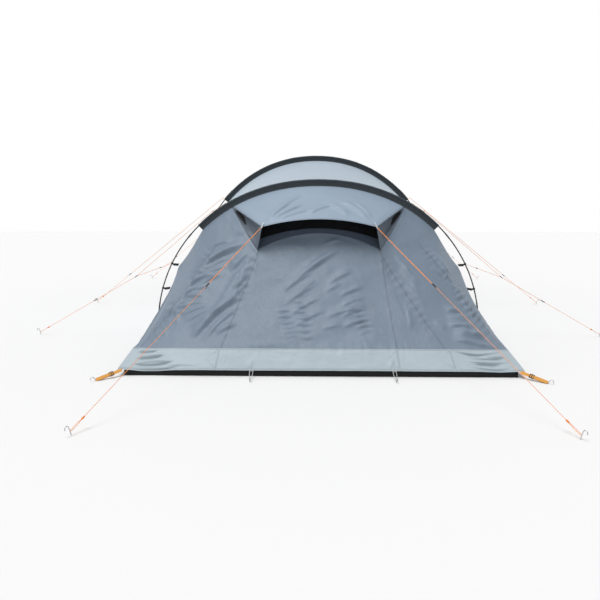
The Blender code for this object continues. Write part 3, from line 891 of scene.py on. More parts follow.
# Straight seams of the rear wall, as (x, z) ends, seen from behind.
WALL_SEAMS = (
    ((-0.485, 0.82), (-0.71, 0.18)),
    ((0.485, 0.82), (0.89, 0.18)),
    ((0.50, 0.83), (0.55, 0.18)),
    ((-0.86, 0.84), (-1.09, 0.52)),
    ((-1.09, 0.52), (-1.32, 0.17)),
    ((0.86, 0.86), (1.09, 0.56)),
    ((1.09, 0.56), (1.34, 0.17)),
)
BAND_SEAMS = (((-0.72, 0.17), (-0.74, 0.04)), ((0.55, 0.17), (0.56, 0.04)), ((0.93, 0.17), (0.95, 0.04)))

# Pulled folds of the rear wall: (start x, z), (end x, z), width, height.
WALL_FOLDS = (
    # left panel, pulled from the vent's corner towards the side seam
    ((-0.99, 0.66), (-0.56, 0.885), 0.02295, 0.0315),
    ((-1.07, 0.54), (-0.79, 0.65), 0.0189, 0.021),
    ((-1.11, 0.47), (-0.87, 0.49), 0.0162, 0.0165),
    ((-0.93, 0.83), (-0.70, 0.89), 0.01485, 0.0105),
    ((-0.71, 0.93), (-0.54, 0.955), 0.01215, 0.0105),
    ((-0.72, 0.66), (-0.54, 0.82), 0.0243, 0.018),
    ((-0.93, 0.25), (-0.57, 0.52), 0.0243, 0.0255),
    ((-0.95, 0.21), (-0.77, 0.37), 0.02025, 0.018),
    ((-0.77, 0.25), (-0.60, 0.33), 0.01755, 0.0135),
    ((-1.24, 0.31), (-1.14, 0.22), 0.0162, 0.0135),
    ((-1.17, 0.43), (-1.08, 0.29), 0.0162, 0.015),
    ((-1.28, 0.24), (-1.21, 0.17), 0.0135, 0.012),
    ((-1.04, 0.60), (-0.86, 0.70), 0.01485, 0.018),
    ((-1.16, 0.40), (-0.99, 0.41), 0.01485, 0.015),
    ((-0.86, 0.20), (-0.60, 0.44), 0.01755, 0.0135),
    ((-1.06, 0.50), (-0.84, 0.56), 0.0135, 0.015),
    ((-0.66, 0.52), (-0.55, 0.68), 0.0162, 0.012),
    # centre panel
    ((-0.21, 0.60), (0.12, 0.80), 0.02025, 0.015),
    ((-0.11, 0.66), (0.20, 0.85), 0.01755, 0.0135),
    ((0.04, 0.87), (0.19, 0.905), 0.01215, 0.009),
    ((0.05, 0.58), (0.28, 0.69), 0.01755, 0.012),
    ((0.04, 0.53), (0.18, 0.595), 0.0135, 0.009),
    ((-0.16, 0.53), (-0.02, 0.62), 0.01485, 0.009),
    ((0.03, 0.36), (0.32, 0.435), 0.0162, 0.0105),
    ((0.20, 0.40), (0.36, 0.465), 0.0135, 0.0084),
    ((0.01, 0.29), (0.18, 0.32), 0.0135, 0.0072),
    # right panel, pulled towards the right corner
    ((0.92, 0.81), (1.11, 0.59), 0.0189, 0.0165),
    ((0.90, 0.69), (1.01, 0.61), 0.0135, 0.012),
    ((1.09, 0.55), (1.18, 0.39), 0.01485, 0.0135),
    ((0.96, 0.395), (1.09, 0.385), 0.0135, 0.0135),
    ((0.96, 0.325), (1.14, 0.26), 0.0189, 0.021),
    ((0.98, 0.275), (1.25, 0.195), 0.02025, 0.0315),
    ((0.96, 0.225), (1.23, 0.155), 0.01755, 0.021),
    ((0.85, 0.335), (0.94, 0.275), 0.0135, 0.0105),
    ((0.64, 0.74), (0.79, 0.55), 0.0216, 0.0105),
    ((0.66, 0.45), (0.665, 0.28), 0.0162, 0.0084),
)
# Families of fainter folds: first line, last line (x, z, x, z), number, width, height.
FINE_FANS = (
    ((-1.00, 0.62, -0.66, 0.86), (-1.10, 0.46, -0.74, 0.66), 4, 0.0144, 0.01496),
    ((-1.10, 0.40, -0.84, 0.46), (-1.00, 0.26, -0.72, 0.42), 4, 0.0144, 0.0132),
    ((-0.60, 0.70, -0.50, 0.80), (-0.70, 0.42, -0.54, 0.62), 4, 0.0144, 0.01144),
    ((0.60, 0.80, 0.74, 0.62), (0.66, 0.60, 0.82, 0.40), 3, 0.0168, 0.01056),
    ((0.94, 0.42, 1.12, 0.36), (0.96, 0.25, 1.22, 0.20), 4, 0.012, 0.0132),
    ((-0.30, 0.52, -0.04, 0.68), (-0.20, 0.30, 0.06, 0.42), 4, 0.0144, 0.00968),
    ((0.14, 0.50, 0.36, 0.58), (0.16, 0.30, 0.36, 0.36), 4, 0.012, 0.00968),
    ((-0.70, 0.58, -0.55, 0.72), (-0.84, 0.33, -0.62, 0.50), 5, 0.0156, 0.01408),
    ((-1.02, 0.60, -0.90, 0.66), (-1.16, 0.36, -1.02, 0.38), 5, 0.0108, 0.0132),
    ((0.98, 0.72, 1.06, 0.62), (1.12, 0.44, 1.20, 0.33), 5, 0.0108, 0.0132),
    ((1.02, 0.36, 1.14, 0.33), (1.14, 0.18, 1.29, 0.15), 4, 0.0096, 0.0132),
)
# Stacks of short puckers: start, end, spacing, reach, height, lean.
WALL_PUCKERS = (
    ((-0.29, 0.46), (-0.19, 0.20), 0.03645, 0.040, 0.00798, -0.25),
    ((-0.16, 0.54), (-0.08, 0.18), 0.0405, 0.038, 0.01008, -0.20),
    ((0.22, 0.57), (0.36, 0.24), 0.04455, 0.042, 0.01008, -0.30),
    ((-0.86, 0.84), (-1.09, 0.52), 0.0459, 0.050, 0.01012, 0.45),
    ((-1.09, 0.52), (-1.32, 0.17), 0.0486, 0.055, 0.01564, 0.45),
    ((0.86, 0.86), (1.09, 0.56), 0.0486, 0.045, 0.0092, -0.45),
    ((1.09, 0.56), (1.34, 0.17), 0.0459, 0.055, 0.01656, -0.45),
    ((-0.485, 0.82), (-0.71, 0.18), 0.054, 0.030, 0.00378, 0.30),
    ((0.485, 0.82), (0.89, 0.18), 0.054, 0.030, 0.00378, -0.30),
)
WALL_SAG = 0.022
BAND_FOLDS = (
    ((-1.35, 0.115), (-1.16, 0.150), 0.01125, 0.015),
    ((-1.36, 0.085), (-1.05, 0.118), 0.01125, 0.0165),
    ((-1.37, 0.062), (-1.00, 0.085), 0.01, 0.0135),
    ((-1.15, 0.060), (-0.85, 0.066), 0.01, 0.006),
    ((1.02, 0.170), (1.35, 0.118), 0.01125, 0.0165),
    ((1.12, 0.122), (1.38, 0.088), 0.01125, 0.0165),
    ((1.00, 0.083), (1.38, 0.060), 0.01, 0.0135),
    ((0.50, 0.052), (0.515, 0.115), 0.01125, 0.009),
    ((-0.49, 0.052), (-0.475, 0.110), 0.01125, 0.0078),
    # narrow grooves between the gathers at the two ends
    ((-1.08, 0.130), (-1.36, 0.094), 0.00625, -0.015),
    ((-1.00, 0.098), (-1.37, 0.073), 0.00625, -0.0165),
    ((-1.14, 0.154), (-1.34, 0.122), 0.005625, -0.0135),
    ((-0.96, 0.072), (-1.37, 0.056), 0.005625, -0.0135),
    ((1.32, 0.132), (0.94, 0.160), 0.00625, -0.018),
    ((1.36, 0.108), (1.02, 0.130), 0.005625, -0.0135),
    ((1.37, 0.086), (1.00, 0.104), 0.00625, -0.0165),
    ((1.37, 0.062), (1.04, 0.074), 0.005625, -0.0135),
)
BAND_OVERLAP = 0.009


def band_gathers(x):
    """The small gathers along the seam between the wall and its hem band."""
    slack = 0.0006 + 0.0016 * smooth((0.85 - np.abs(x + 0.05)) / 0.25)
    return slack * lattice_noise(x / 0.021, x * 0, 71) + 0.0015 * lattice_noise(x / 0.11, x * 0, 72)


def rear_wall_height(points, extra):
    x, y, z = points.T
    share, beside = extra.T
    held = smooth(share / 0.07) * smooth((1 - share) / 0.05)
    raised = stray(x, z, 11, 0.009, 0.0015) + creases(x, z, WALL_FOLDS)
    for first, last, count, width, height in FINE_FANS:
        for line in fan(first, last, count):
            raised += crease(x, z, line[:2], line[2:], width, height)
    for number, row in enumerate(WALL_PUCKERS):
        raised += puckers(x, z, *row, 100 + 7 * number)
    raised -= WALL_SAG * 4 * share * (1 - share)
    flank = stray(y, z, 23, 0.005, 0.0014) - 0.010 * np.sin(np.clip((y + 2.35) / 1.09, 0, 1) * math.pi)
    corner = (-2.33, 0.07)
    for k in range(6):
        flank += crease(y, z, corner, (corner[0] + 0.20 + 0.12 * k, 0.06 + 0.055 * k), 0.010, 0.0035)
    raised = held * (raised * (1 - beside) + flank * beside)
    return raised + band_gathers(x) * smooth((share - 0.90) / 0.10) * (1 - beside)


def rear_wall_seams(points, extra):
    beside = extra[:, 1]
    found = nearest_seam(points[:, 0], points[:, 2], WALL_SEAMS)
    found[beside > 0] = FAR_FROM_SEAM
    return found


def build_rear_wall():
    rows, band_rows = 132, 10
    angles = mirrored(spread((REAR.corner, VENT_TIP, VENT_CORNER, math.pi / 2), (66, 30, 46)))
    edge, band = vent_edge_down(angles), hem_band_down(angles)
    share = np.linspace(0, 1, rows + 1)
    downs = edge[:, None] + (band - edge)[:, None] * share[None, :]
    middle = REAR.point(angles[:, None], downs)
    grids = [(middle, tags(downs.shape, share, 0.0))]
    columns = 22
    side_angles = np.linspace(REAR.foot, REAR.corner, columns)
    corner_band = float(hem_band_down(np.array(REAR.corner)))
    side_downs = np.concatenate([share * corner_band, np.linspace(corner_band, 1, band_rows + 1)[1:]])
    side_share = np.concatenate([share, np.ones(band_rows)])
    beside = np.ones((columns, len(side_downs)))
    beside[-1] = 0
    side = REAR.point(side_angles[:, None], np.broadcast_to(side_downs, beside.shape))
    extra = tags(beside.shape, side_share, beside)
    for mirror in (1, -1):
        grids.append((side[:: mirror] * (mirror, 1, 1), extra[:: mirror]))
    grids = [(drawn_corners(grid), more) for grid, more in grids]
    wall = cloth_object("rear_wall_cloth", grids, "fly", rear_wall_height, rear_wall_seams,
                        replaces=("rear_wall",))


def build_rear_hem():
    angles = mirrored(spread((REAR.corner, math.pi / 2), (150,)))
    band = hem_band_down(angles, BAND_OVERLAP)
    share = np.linspace(0, 1, 61)
    downs = band[:, None] + (1 - band)[:, None] * share[None, :]
    points = drawn_corners(REAR.point(angles[:, None], downs))

    def height(points, extra):
        x, _, z = points.T
        free = extra[:, 0]
        ends = smooth((1.385 - np.abs(x)) / 0.05)
        raised = stray(x, z * 2, 37, 0.0030, 0.0010) + creases(x, z, BAND_FOLDS)
        raised = raised * smooth(free / 0.18) * ends
        raised += band_gathers(x) * smooth((0.75 - free) / 0.7)
        return raised + 0.0015

    def seams(points, extra):
        found = nearest_seam(points[:, 0], points[:, 2], BAND_SEAMS)
        free = extra[:, 0]
        width = HEM_BAND + BAND_OVERLAP
        add_seam(found, points[:, 0], np.abs(free * width - 0.006))
        add_seam(found, points[:, 0], np.abs((1 - free) * width - 0.012))
        return found

    hem = cloth_object("rear_hem_band", [(points, tags(downs.shape, share))], "hem", height, seams,
                       replaces=("rear_hem",))


VENT_BACK = EndWall(REAR.top_y + 0.004, REAR.half_width - 0.009, REAR.height - 0.009,
                    REAR_Y + 0.009, HEM_Z, REAR_CORNER_Z, SLEEVE_LAP)
FLAP_FRONT = EndWall(REAR.top_y - 0.0045, REAR.half_width + 0.003, REAR.height + 0.003,
                     REAR_Y - 0.0045, HEM_Z, REAR_CORNER_Z, SLEEVE_LAP)


def build_vent():
    """The black mesh across the vent, and the stiffened flap along its lower edge, whose dark colour is
    painted shade from the hood.
    """
    angles = mirrored(spread((VENT_TIP, VENT_CORNER, math.pi / 2), (24, 50)))[1:-1]
    share = np.linspace(0, 1, 31)
    edge = vent_edge_down(angles)[:, None]
    net_sheet = VENT_BACK.point(angles[:, None], (edge + 0.02) * share, drawn=False)

    def net_height(points, extra):
        return 0.6 * stray(points[:, 0], points[:, 2], 51, 0.003, 0.0006) * smooth(extra[:, 0] / 0.1) - 0.002

    extra = tags(net_sheet.shape[:2], share)
    mesh = cloth_object("vent_insect_mesh", [(net_sheet, extra)], "net", net_height,
                        thick=0.0006, replaces=("vent_mesh",))

    angles = np.linspace(VENT_CORNER, math.pi - VENT_CORNER, 121)
    x, _, top_z = REAR.top(angles).T
    arc = 1 - (x / VENT_CORNER_X) ** 2
    low, high = 0.822 + 0.130 * arc, 0.902 + 0.086 * arc
    z = low[:, None] + (high - low)[:, None] * share
    flap = FLAP_FRONT.point(angles[:, None], (top_z[:, None] - z) / (top_z[:, None] - HEM_Z))

    def flap_height(points, extra):
        return 0.5 * stray(points[:, 0], points[:, 2], 53, 0.003, 0.0005) * extra[:, 0]

    def flap_seams(points, extra):
        return np.stack([points[:, 0], extra[:, 0] * 0.06 - 0.008], axis=-1)

    extra = tags(flap.shape[:2], share)
    strip = cloth_object("vent_flap", [(flap, extra)], "flap", flap_height, flap_seams)


def hood_edge(across):
    """Points of the hood's free edge; across runs from 1 at the right corner to -1."""
    x, y, z = HOOD_CORNER
    rise = z + HOOD_ARCH_RISE * (1 - across**2)
    return np.stack(np.broadcast_arrays(x * across, y, rise), axis=-1)


# Folds of the hood, as (x, distance up from its free edge) ends, width and height.
HOOD_FOLDS = (
    ((-0.42, 0.03), (-0.20, 0.27), 0.020, 0.021),
    ((-0.40, 0.02), (-0.10, 0.20), 0.018, 0.0196),
    ((-0.36, 0.02), (-0.02, 0.12), 0.016, 0.014),
    ((-0.10, 0.05), (0.14, 0.20), 0.018, 0.0126),
    ((-0.30, 0.20), (-0.12, 0.34), 0.018, 0.0126),
    ((0.06, 0.20), (0.24, 0.06), 0.022, 0.0168),
    ((0.16, 0.26), (0.40, 0.05), 0.024, 0.0182),
    ((0.28, 0.28), (0.42, 0.08), 0.018, 0.014),
)


def build_vent_hood():
    columns, rows = 150, 64
    start = VENT_TIP + math.radians(0.4)
    across = np.linspace(1, -1, columns + 1)
    share = np.linspace(0, 1, rows + 1)
    top = REAR.top(math.pi / 2 + (start - math.pi / 2) * across)[:, None]
    roof = top + (hood_edge(across)[:, None] - top) * share[None, :, None]
    roof_extra = tags(roof.shape[:2], share, across[:, None])
    wall_angles = np.linspace(VENT_TIP, VENT_CORNER, rows + 1)
    on_wall = REAR.point(wall_angles, vent_edge_down(wall_angles)) + (0, -HOOD_STANDOFF, 0)
    on_wall[0] = roof[0, 0]
    inward = np.linspace(0, 1, 25)[:, None, None]
    tuck = np.sin(math.pi * share)
    under = roof[0] + np.stack([-0.030 * tuck, 0 * tuck, -0.008 * tuck], axis=-1)
    gusset = under[None] + (on_wall[None] - under[None]) * inward
    gusset_extra = tags(gusset.shape[:2], share, inward[..., 0])

    def height(points, extra):
        x = points[:, 0]
        down, side = extra.T
        held = smooth(down / 0.10) * smooth((1.02 - down) / 0.10) * smooth((1 - np.abs(side)) / 0.10)
        raised = 0.010 * np.sin(math.pi * down) + stray(x, down * 0.5, 61, 0.0035, 0.0008)
        return held * (raised + creases(x, 0.5 * (1 - down), HOOD_FOLDS))

    def seams(points, extra):
        down, side = extra.T
        found = np.stack([points[:, 0], (1 - down) * 0.47 - 0.010], axis=-1)
        add_seam(found, down * 0.5, (1 - np.abs(side)) * 0.45 - 0.008)
        return found

    def gusset_height(points, extra):
        down, gore = extra.T
        inner = smooth(gore / 0.4) * smooth((1 - gore) / 0.25) * smooth(down / 0.2) * smooth((1 - down) / 0.3)
        return inner * (stray(points[:, 1], points[:, 2], 63, 0.004, 0.001) - 0.030)

    inside = (0, -1.3, 0.7)
    hood = cloth_object("vent_hood_cloth", [(roof, roof_extra)], "hood", height, seams,
                        inside=inside, replaces=("vent_hood",))
    # The gussets' darker cloth is painted shade under the hood.
    for mirror, side in SIDES:
        gore = cloth_object(f"hood_gusset_{side}", [(gusset * (mirror, 1, 1), gusset_extra)], "gusset",
                            gusset_height, inside=inside)


# ---- roof bays and front ----------------------------------------------------------


def build_bay(name, kind, hoop, seed):
    """The stretch of fly between one hoop and the next, drawn in a little between them."""
    foot = angle_at_height(HEM_Z, HOOP_HEIGHT[0] - FLY_INSET)
    angles = np.linspace(foot, math.pi - foot, 221)[:, None]
    share = np.linspace(0, 1, 97)[None, :]
    start = fly_edge(angles, hoop, HOOP_Y[hoop] + SEAM_GAP)
    end = fly_edge(angles, hoop + 1, HOOP_Y[hoop + 1] - SEAM_GAP)
    along = share[..., None]
    inward = -np.stack(np.broadcast_arrays(np.cos(angles), 0 * angles, np.sin(angles)), axis=-1)
    sag = BAY_SAG * 4 * share * (1 - share) * np.sin(angles)
    points = start + (end - start) * along + inward * sag[..., None]
    points[..., 2] = np.maximum(points[..., 2], HEM_Z)
    extra = tags(points.shape[:2], share, angles)
    length = HOOP_Y[hoop + 1] - HOOP_Y[hoop]

    def height(points, extra):
        share, angle = extra.T
        girth = angle * 1.5
        y = share * length
        held = smooth(share / 0.05) * smooth((1 - share) / 0.05)
        raised = stray(girth, y, seed, 0.005, 0.0010)
        near = np.exp(-y / 0.16) + np.exp(-(length - y) / 0.16)
        raised += 0.0022 * near * lattice_noise(girth / 0.035, y / 0.4, seed + 5)
        raised += 0.0016 * lattice_noise(girth / 0.06, y / 0.9, seed + 6)
        for step in CLIP_STEPS.values():
            for turn in (step, HOOP_STEPS - step):
                place = 1.5 * math.pi * turn / HOOP_STEPS
                for lean in (-0.22, -0.07, 0.09, 0.24):
                    near_side = (place, 0.02), (place + lean, 0.45)
                    far_side = (place + lean, length - 0.45), (place, length - 0.02)
                    raised += creases(girth, y, [(*line, 0.011, 0.0035) for line in (near_side, far_side)])
        low = smooth(np.minimum(angle - foot, math.pi - foot - angle) / 0.08)
        return held * raised * low

    def seams(points, extra):
        share, angle = extra.T
        edge = np.minimum(angle - foot, math.pi - foot - angle) * 1.4
        hem = np.abs(edge - 0.012)
        girth = angle * 1.5
        tape = np.abs(share - 0.5) * length if length > 1.6 else np.full(len(share), FAR_FROM_SEAM)
        return np.where((hem < tape)[:, None], np.stack([share * length, hem], axis=-1),
                        np.stack([girth, tape], axis=-1))

    bay = cloth_object(f"{name}_cloth", [(points, extra)], kind, height, seams, replaces=(name,))


FRONT_SEAMS = tuple(((m * 0.78, 1.22), (m * 1.31, 0.20)) for m in (1, -1))


def front_wall_folds(points):
    """Folds that run out to the corners and towards the door's foot."""
    x, _, z = points.T
    raised = stray(x, z, 81, 0.005, 0.0011)
    for mirror, seam in zip((1, -1), FRONT_SEAMS):
        for k in range(6):
            start = (mirror * (1.30 - 0.02 * k), 0.13 + 0.03 * k)
            end = (mirror * (0.88 - 0.05 * k), 0.30 + 0.15 * k)
            if start[0] > end[0]:
                start, end = end, start
            raised += crease(x, z, start, end, 0.014, 0.0055)
        raised += puckers(x, z, *seam, 0.040, 0.050, 0.0022, -0.4 * mirror, 90 + mirror)
    return raised


def build_front_wall():
    stops = (FRONT.foot, FRONT.corner, DOOR_ANGLE, math.pi / 2)
    angles = mirrored(spread(stops, (14, 80, 34)))
    above, beside = 14, 104
    downs = spread((0.0, DOOR_TOP, DOOR_BOTTOM, 1.0), (above, beside, 6))
    points = FRONT.point(angles[:, None], np.broadcast_to(downs, (len(angles), len(downs))))
    first = int(np.argmin(np.abs(angles - DOOR_ANGLE)))
    last = len(angles) - 1 - first
    hole = np.zeros((len(angles) - 1, len(downs) - 1), bool)
    hole[first:last, above:above + beside] = True
    extra = tags(points.shape[:2], downs, angles[:, None])

    def height(points, extra):
        down, angle = extra.T
        held = smooth(down / 0.06) * smooth((1 - down) / 0.05)
        door_half = math.pi / 2 - DOOR_ANGLE
        from_middle = np.abs(angle - math.pi / 2)
        over_door = smooth(np.abs(down - DOOR_TOP) / 0.05) * smooth(np.abs(DOOR_BOTTOM - down) / 0.03)
        rim = smooth(np.abs(from_middle - door_half) / 0.05)
        rim = rim * np.where(from_middle <= door_half + 1e-6, over_door, 1)
        low = smooth((angle - FRONT.foot) / 0.1) * smooth((math.pi - FRONT.foot - angle) / 0.1)
        return front_wall_folds(points) * held * rim * low

    def seams(points, extra):
        down = extra[:, 0]
        found = nearest_seam(points[:, 0], points[:, 2], FRONT_SEAMS)
        add_seam(found, points[:, 0], np.abs((1 - down) * 1.6 - 0.012))
        return found

    wall = cloth_object("front_wall_cloth", [(points, extra)], "fly", height, seams,
                        holes=[hole], replaces=("front_wall",))


def door_point(angle, down):
    point = FRONT.point(angle, down)
    return point * (1 - DOOR_GAP / DOOR_HALF_WIDTH, 1, 1)


def build_front_door():
    side = np.array(DOOR_ANGLE)
    tall = DOOR_GAP / float(np.linalg.norm(FRONT.bottom(side) - FRONT.top(side)))
    angles = mirrored(spread((DOOR_ANGLE, math.pi / 2), (44,)))
    downs = np.linspace(DOOR_TOP + tall, DOOR_BOTTOM - tall, 111)
    points = door_point(angles[:, None], np.broadcast_to(downs, (len(angles), len(downs))))
    across = np.linspace(0, 1, len(angles))
    extra = tags(points.shape[:2], np.linspace(0, 1, len(downs)), across[:, None])

    def height(points, extra):
        x, _, z = points.T
        down, across = extra.T
        held = smooth(down / 0.04) * smooth((1 - down) / 0.04)
        held = held * smooth(across / 0.06) * smooth((1 - across) / 0.06)
        raised = stray(x, z, 91, 0.006, 0.0012)
        for k in range(5):
            raised += crease(x, z, (-0.34 + 0.06 * k, 0.25 + 0.16 * k), (0.34, 0.40 + 0.18 * k), 0.013, 0.0038)
        return held * raised

    def seams(points, extra):
        down, across = extra.T
        off = np.minimum(np.minimum(across, 1 - across) * 0.83, np.minimum(down, 1 - down) * 1.45) - 0.014
        return np.stack([points[:, 2], off], axis=-1)

    door = cloth_object("front_door_cloth", [(points, extra)], "fly", height, seams,
                        body="front_door_body", replaces=("front_door",))
    tapes, coil = door_zip()


def door_zip():
    """The zip's tape, which stays on the wall round the door's free edges, and its coil."""
    right = FRONT.point(np.full(60, DOOR_ANGLE), np.linspace(DOOR_BOTTOM - 0.004, DOOR_TOP + 0.004, 60))
    over = mirrored(spread((DOOR_ANGLE, math.pi / 2), (30,)))
    top = FRONT.point(over, np.full(len(over), DOOR_TOP + 0.001))
    path = np.concatenate([right, top[1:-1]])
    out = unit(np.cross(right[-1] - right[0], (1, 0, 0)))
    out = out if out[1] > 0 else -out
    lengths = distances(path)
    points, uv = [], []
    outline = ((-0.010, 0.0022), (0.010, 0.0022), (0.010, 0.0030), (-0.010, 0.0030))
    for place, tangent, run in zip(path, np.gradient(path, axis=0), lengths):
        side = unit(np.cross(out, tangent))
        for a, b in outline:
            points.append(place + side * (a - 0.009) + out * b)
            uv.append((a, run))
    tape = solid_object("door_zip_tape", points, ring_faces(len(path), 4), uv, "black_webbing")
    steps = np.arange(0, lengths[-1], 0.0015)
    line = np.stack([np.interp(steps, lengths, path[:, k]) for k in range(3)], axis=-1) + out * 0.0042
    size = 0.0021 + 0.0006 * np.sin(np.arange(len(steps)) * math.pi / 2)
    coil = tube_object("door_zip_coil", line, size, "zip", sides=6)
    return tape, coil


def build_zip_slider():
    """The slider's body and its pull, on the slider's own body."""
    low, high = (np.array(corner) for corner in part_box("door_zip_slider"))
    middle = (low + high) / 2
    edge = np.array(DOOR_ANGLE)
    up = unit(FRONT.point(edge, DOOR_TOP) - FRONT.point(edge, DOOR_BOTTOM))
    side = np.array([1.0, 0, 0])
    out = unit(np.cross(side, up))
    out = out if out[1] > 0 else -out

    def lozenge(name, half_length, half_width, half_thick, shift, pinch, kind):
        rings, size = 17, 20
        points = []
        for ring in range(rings):
            share = ring / (rings - 1) * 2 - 1
            round_end = max(0.0, 1 - abs(share) ** 3.5) ** (1 / 2.5)
            width = half_width * round_end * (1 - pinch * (1 - share) / 2)
            for turn in np.linspace(0, 2 * math.pi, size, endpoint=False):
                a = rounded(math.cos(turn), 0.6) * width
                b = rounded(math.sin(turn), 0.6) * half_thick * (0.4 + 0.6 * round_end)
                points.append(middle + shift + up * share * half_length + side * a + out * b)
        uv = np.zeros((len(points), 2))
        return solid_object(name, points, ring_faces(rings, size), uv, kind, "door_zip_slider_body")

    body = lozenge("zip_slider_shell", 0.0145, 0.0068, 0.0028, 0.0, 0.35, "plastic")
    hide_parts("door_zip_slider")
    lozenge("zip_slider_pull", 0.016, 0.0045, 0.0012, out * 0.0044 - up * 0.017, -0.3, "toggle")


# ---- floor and bedroom -------------------------------------------------------------


def build_groundsheet():
    """A tray of one sheet: flat floor, folded up at its four sides."""
    low, high = (np.array(corner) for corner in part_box("groundsheet"))
    lip = high[2] - low[2]
    half = (high[:2] - low[:2]) / 2
    rim = np.linspace(0, lip, 7)[1:]

    def stations(reach, count):
        flat = np.linspace(-reach, reach, count)
        return np.concatenate([-reach - rim[::-1], flat, reach + rim])

    u, v = np.meshgrid(stations(half[0], 121), stations(half[1], 201), indexing="ij")
    over_u, over_v = np.maximum(np.abs(u) - half[0], 0), np.maximum(np.abs(v) - half[1], 0)
    rise = np.maximum(over_u, over_v)
    x, y = np.clip(u, -half[0], half[0]), np.clip(v, -half[1], half[1])
    floor_wave = 0.0022 * (lattice_noise(x / 0.16, y / 0.13, 41) + 1) * smooth((half[0] - np.abs(x)) / 0.1)
    floor_wave = floor_wave * smooth((half[1] - np.abs(y)) / 0.1)
    sway = 0.004 * lattice_noise((x + y) / 0.11, (x - y) / 0.6, 43) * smooth(rise / lip)
    inward_x = -np.sign(x) * np.where(over_u > 0, 0.002 + np.abs(sway), 0)
    inward_y = -np.sign(y) * np.where(over_v > 0, 0.002 + np.abs(sway), 0)
    z = 0.0016 + np.where(rise > 0, rise - 0.002 * (rise / lip), floor_wave)
    points = np.stack([x + inward_x * smooth(rise / lip), y + inward_y * smooth(rise / lip), z], axis=-1)
    ground = cloth_object("groundsheet_tray", [(points, None)], "groundsheet",
                          inside=(0, 0, -5), thick=0.0012, replaces=("groundsheet",))


def build_inner_tent():
    """The bedroom, hung a hand's breadth inside the fly, with its floor and a doorway bound with tape."""
    back = EndWall(HOOP_Y[0] + 0.04, INNER_HALF_WIDTH, INNER_HEIGHT[0], INNER_REAR_Y, INNER_FLOOR_Z,
                   REAR_CORNER_Z)
    angles = mirrored(spread((back.foot, back.corner, math.pi / 2), (18, 72)))
    share = np.linspace(0, 1, 61)
    x, z = arch(angles, INNER_HALF_WIDTH, INNER_HEIGHT[1])
    z = np.maximum(z, INNER_FLOOR_Z)
    z[[0, -1]] = INNER_FLOOR_Z
    front = np.stack([x, np.full_like(x, INNER_FRONT_Y), z], axis=-1)[:, None]
    roof_end = back.top(angles, drawn=False)[:, None]
    roof = front + (roof_end - front) * share[None, :, None]
    slope = back.point(angles[:, None], np.broadcast_to(share, (len(angles), 61)), drawn=False)

    def slack(points, extra):
        x, y, z = points.T
        edge = smooth(extra[:, 0] / 0.08) * smooth((1 - extra[:, 0]) / 0.08)
        girth = np.arctan2(z, x) * 1.3
        drape = 0.010 * lattice_noise(girth / 0.20, y / 0.5, 31)
        drape += 0.004 * lattice_noise(girth / 0.07, y / 0.3, 32)
        return edge * (drape - 0.015) * smooth((z - 0.03) / 0.1)

    doorway_share = (angles - angles[0]) / (angles[-1] - angles[0])
    door_x, door_z = arch(math.pi * doorway_share, INNER_DOOR_HALF_WIDTH, INNER_DOOR_HEIGHT)
    doorway = np.stack([door_x, np.full_like(door_x, INNER_FRONT_Y), INNER_DOOR_SILL + door_z], axis=-1)
    doorway = doorway[:, None]
    rim_share = np.linspace(0, 1, 25)
    face = front + (doorway - front) * rim_share[None, :, None]
    bottom = np.stack([front[0, 0], front[-1, 0]])
    sill = np.stack([doorway[0, 0], doorway[-1, 0]])
    across = np.linspace(0, 1, 41)[:, None]
    low_edge = bottom[0] + (bottom[1] - bottom[0]) * across
    high_edge = sill[0] + (sill[1] - sill[0]) * across
    kick = low_edge[:, None] + (high_edge - low_edge)[:, None] * rim_share[None, :, None]
    floor_x = np.linspace(back.foot_x, -back.foot_x, 61)[:, None]
    floor_y = np.linspace(INNER_FRONT_Y, INNER_REAR_Y, 61)[None, :]
    floor = np.stack(np.broadcast_arrays(floor_x, floor_y, INNER_FLOOR_Z + 0.0 * floor_x), axis=-1)
    parts = [(grid, tags(grid.shape[:2], share)) for grid in (roof, slope)] + [(face, None), (kick, None)]
    tent = cloth_object("bedroom_cloth", parts, "inner", slack, inside=(0, -1.0, 0.5),
                        thick=0.0006, replaces=("inner_tent",))
    mat = cloth_object("bedroom_floor", [(floor, None)], "groundsheet",
                       inside=(0, -1, -3), thick=0.0008)
    ring = np.concatenate([doorway[:, 0], [doorway[0, 0]]]) + (0, 0.004, 0)
    tube_object("bedroom_door_binding", ring, 0.0035, "black_webbing", sides=8)


# ---- poles, sleeves and clips -------------------------------------------------------


def hoop_frame(hoop, step, mirror=1):
    """Origin, outward and along-the-tent directions at a step of the smooth hoop."""
    angle = math.pi * step / HOOP_STEPS
    near = 0.01

    def place(turn):
        x, z = arch(turn, HOOP_HALF_WIDTH, HOOP_HEIGHT[hoop])
        return np.array([float(x), HOOP_Y[hoop], max(float(z), ROD_FOOT_Z)])

    tangent = unit(place(min(angle + near, math.pi)) - place(max(angle - near, 0.0)))
    outward = np.array([mirror * tangent[2], 0, -tangent[0]])
    return place(angle) * (mirror, 1, 1), outward, np.array([0.0, 1.0, 0.0])


FERRULE_STEPS = (2.2, 8.0, 13.6, 18.0, 22.4, 28.0, 33.8)


